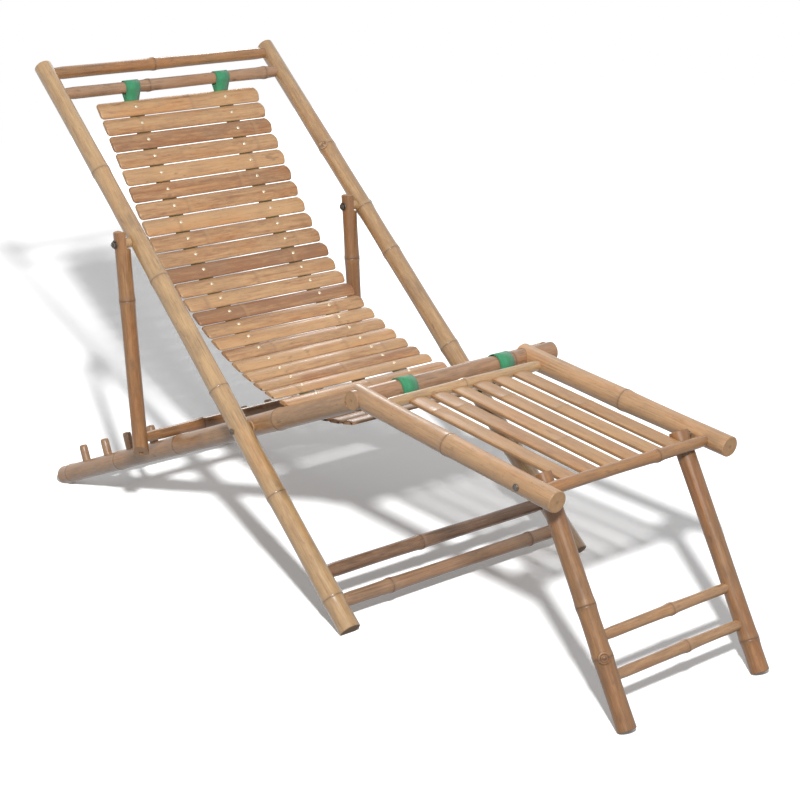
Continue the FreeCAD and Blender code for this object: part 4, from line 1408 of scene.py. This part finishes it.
# %% Bolts, nuts and collars
BOLT_RADIUS = 0.004
BOLT_HEAD = (0.0062, 0.0028)
BOLT_NUT_RADIUS = 0.008
NUT_HEIGHT = 0.005
SPACER_RADIUS = 0.012
SMALL_BOLT_RADIUS = 0.003
PROP_NUT_RADIUS = 0.007
PROP_WASHER_RADIUS = 0.0095
PROP_BOLT_HEAD = (0.007, 0.0045)
COLLAR_RADIUS = 0.010
SCREW_HEAD = (0.006, 0.0032)
LEG_WASHER_RADIUS = 0.008
WASHER_ROUNDING = 0.0003
RAIL_FACE = 0.0205
RAIL_FLAT = 0.0185
SEAT_FACE = 0.0212
PROP_FACE = 0.0163
SPACER_ENDS = (0.019, 0.0208)
BOLT_PAST_SEAT = 0.0280
PROP_BOLT_PAST_NUT = 0.008
PROP_BOLT_IN_RAIL = 0.020
LEG_SCREW_ENDS = (0.012, 0.018)
LEG_HEAD_FACE = 0.0178
LEG_WASHER_ENDS = (0.0163, 0.0188)
main_bolts, main_spacers, prop_bolts, prop_collars, leg_screws = [], [], [], [], []
for side, outward in SIDES:
    rail = middle_y("long_rail_" + side)
    seat = middle_y("seat_rail_" + side)
    head = rail + outward * RAIL_FACE
    nut_face = seat - outward * SEAT_FACE
    main_bolts.append(turned(PIVOT, seat - outward * BOLT_PAST_SEAT, head, BOLT_RADIUS))
    main_bolts.append(domed(PIVOT, head, outward, *BOLT_HEAD))
    main_bolts.append(nut(PIVOT, nut_face, nut_face - outward * NUT_HEIGHT, BOLT_NUT_RADIUS))
    start, end = seat + outward * SPACER_ENDS[0], rail - outward * SPACER_ENDS[1]
    main_spacers.append(turned(PIVOT, start, end, SPACER_RADIUS))

    prop = middle_y("prop_" + side)
    nut_face = prop - PROP_FACE
    start, end = nut_face - PROP_BOLT_PAST_NUT, rail + PROP_BOLT_IN_RAIL
    prop_bolts.append(turned(HINGE, start, end, SMALL_BOLT_RADIUS))
    prop_bolts.append(nut(HINGE, nut_face, nut_face - NUT_HEIGHT, PROP_NUT_RADIUS))
    start, end = nut_face + 0.0004, nut_face - 0.0008
    prop_bolts.append(turned(HINGE, start, end, PROP_WASHER_RADIUS, WASHER_ROUNDING))
    prop_bolts.append(domed(HINGE, rail + RAIL_FLAT, 1, *PROP_BOLT_HEAD))
    prop_collars.append(turned(HINGE, prop + PROP_LAP_FLAT, rail - RAIL_FLAT, COLLAR_RADIUS))

    foot_rail = middle_y("footrest_rail_" + side)
    leg = middle_y("leg_" + side)
    start, end = leg - outward * LEG_SCREW_ENDS[0], foot_rail + outward * LEG_SCREW_ENDS[1]
    leg_screws.append(domed(LEG_PIVOT, foot_rail + outward * LEG_HEAD_FACE, outward, *SCREW_HEAD))
    leg_screws.append(turned(LEG_PIVOT, start, end, SMALL_BOLT_RADIUS))
    start, end = [leg + outward * reach for reach in LEG_WASHER_ENDS]
    leg_screws.append(turned(LEG_PIVOT, start, end, LEG_WASHER_RADIUS, 0.0004))

fasteners("main_bolts", main_bolts, "seat_frame", "bolt_steel", STEEL, "pivot_bolts")
fasteners("main_spacers", main_spacers, "seat_frame", "golden_culm", GOLDEN, "pivot_spacers")
fasteners("prop_bolts_and_nuts", prop_bolts, "long_frame", "bolt_steel", STEEL, "prop_bolts")
fasteners("prop_collar_rings", prop_collars, "long_frame", "golden_culm", GOLDEN, "prop_collars")
fasteners("leg_screw_heads", leg_screws, "footrest", "bolt_steel", STEEL, "leg_screws")
print("fasteners made")

# %% [markdown]
# ## Floor and light
# The picture has a white studio floor with soft grey shadows, which run back and to the left from a lamp just
# above the camera. One lamp lights the chair gently from there, with a weaker one behind it. A third stands
# in the first one's place and lights only the floor, so that the floor comes out white and still keeps the
# shadow. None of them weakens with distance, because a lamp this near would leave the head of the chair dull.

# %% Floor
FLOOR_LIFT = 0.08
FLOOR_MIRRORED = 0.8
FLOOR_REACH = 8
FLOOR_SEEN = (0.95, 0.95, 0.95, 1)
FLOOR_BOUNCE = (0.05, 0.05, 0.05, 1)


def make_floor():
    builder = bmesh.new()
    bmesh.ops.create_grid(builder, x_segments=1, y_segments=1, size=FLOOR_REACH)
    floor = add_object("studio_floor", to_mesh(builder, "studio_floor"))
    material, tree, shader = new_material("studio_white")
    path = add(tree, "LightPath").outputs
    seen = path["Is Camera Ray"]
    mirrored = maths(tree, "MAXIMUM", path["Is Glossy Ray"], path["Is Transmission Ray"])
    inputs = {
        "Base Color": blend_colours(tree, seen, FLOOR_BOUNCE, FLOOR_SEEN),
        "Roughness": 1.0,
        "Specular IOR Level": 0.0,
        "Emission Color": (1, 1, 1, 1),
        "Emission Strength": plus(tree, times(tree, seen, FLOOR_LIFT), times(tree, mirrored, FLOOR_MIRRORED)),
    }
    fill(tree, shader, inputs)
    floor.data.materials.append(material)
    return floor


floor = make_floor()

# %% Lamps and world
KEY_STRENGTH = 7.2
FILL_STRENGTH = 2.5
FLOOR_STRENGTH = 26.0
WORLD_LEVEL = 0.42
KEY_SIZE = 0.35
FILL_SIZE = 0.8
FLOOR_LAMP_SIZE = 0.17
LAMP_PLACE = (2.25, -1.45, 1.75)
FILL_PLACE = (-2.4, 1.6, 2.2)
LAMP_TARGET = (0, 0, 0.3)


def lamp_object(name, kind, place, strength, receivers):
    data = bpy.data.lights.new(name, kind)
    data.energy = 1.0
    data.use_nodes = True
    lamp = add_object(name, data)
    lamp.location = place
    lamp.rotation_euler = (Vector(LAMP_TARGET) - Vector(place)).to_track_quat("-Z", "Y").to_euler()
    lamp.light_linking.receiver_collection = receivers
    steady = add(data.node_tree, "LightFalloff", {"Strength": strength}).outputs["Constant"]
    return data, data.node_tree, steady


def soft_lamp(name, place, size, strength, receivers):
    """A round lamp whose light doesn't weaken with distance."""
    data, tree, steady = lamp_object(name, "AREA", place, strength, receivers)
    data.shape = "DISK"
    data.size = size
    fill(tree, tree.nodes["Emission"], {"Strength": steady})


def level_lamp(name, place, size, strength, receivers):
    """A small bulb that lights a level floor evenly: it grows with distance as the slant takes light away."""
    data, tree, steady = lamp_object(name, "POINT", place, strength, receivers)
    data.shadow_soft_size = size / 2
    reach = add(tree, "LightPath").outputs["Ray Length"]
    fill(tree, tree.nodes["Emission"], {"Strength": times(tree, steady, reach)})


def receivers(name, objects):
    group = bpy.data.collections.new(name)
    for item in objects:
        group.objects.link(item)
    return group


chair = receivers("chair_only", [item for item in bpy.data.objects if item.type == "MESH" and item != floor])
ground = receivers("floor_only", [floor])
soft_lamp("key_lamp", LAMP_PLACE, KEY_SIZE, KEY_STRENGTH, chair)
soft_lamp("fill_lamp", FILL_PLACE, FILL_SIZE, FILL_STRENGTH, chair)
level_lamp("floor_lamp", LAMP_PLACE, FLOOR_LAMP_SIZE, FLOOR_STRENGTH, ground)

world = bpy.data.worlds.new("studio_world")
world.use_nodes = True
bpy.context.scene.world = world
sky_tree = world.node_tree
path = add(sky_tree, "LightPath").outputs
plain_view = maths(sky_tree, "MAXIMUM", path["Is Camera Ray"], path["Is Glossy Ray"])
plain_view = maths(sky_tree, "MAXIMUM", plain_view, path["Is Transmission Ray"])
level = plus(sky_tree, times(sky_tree, plain_view, 1 - WORLD_LEVEL), WORLD_LEVEL)
fill(sky_tree, sky_tree.nodes["Background"], {"Color": (1, 1, 1, 1), "Strength": level})
bpy.context.scene.view_settings.view_transform = "Standard"
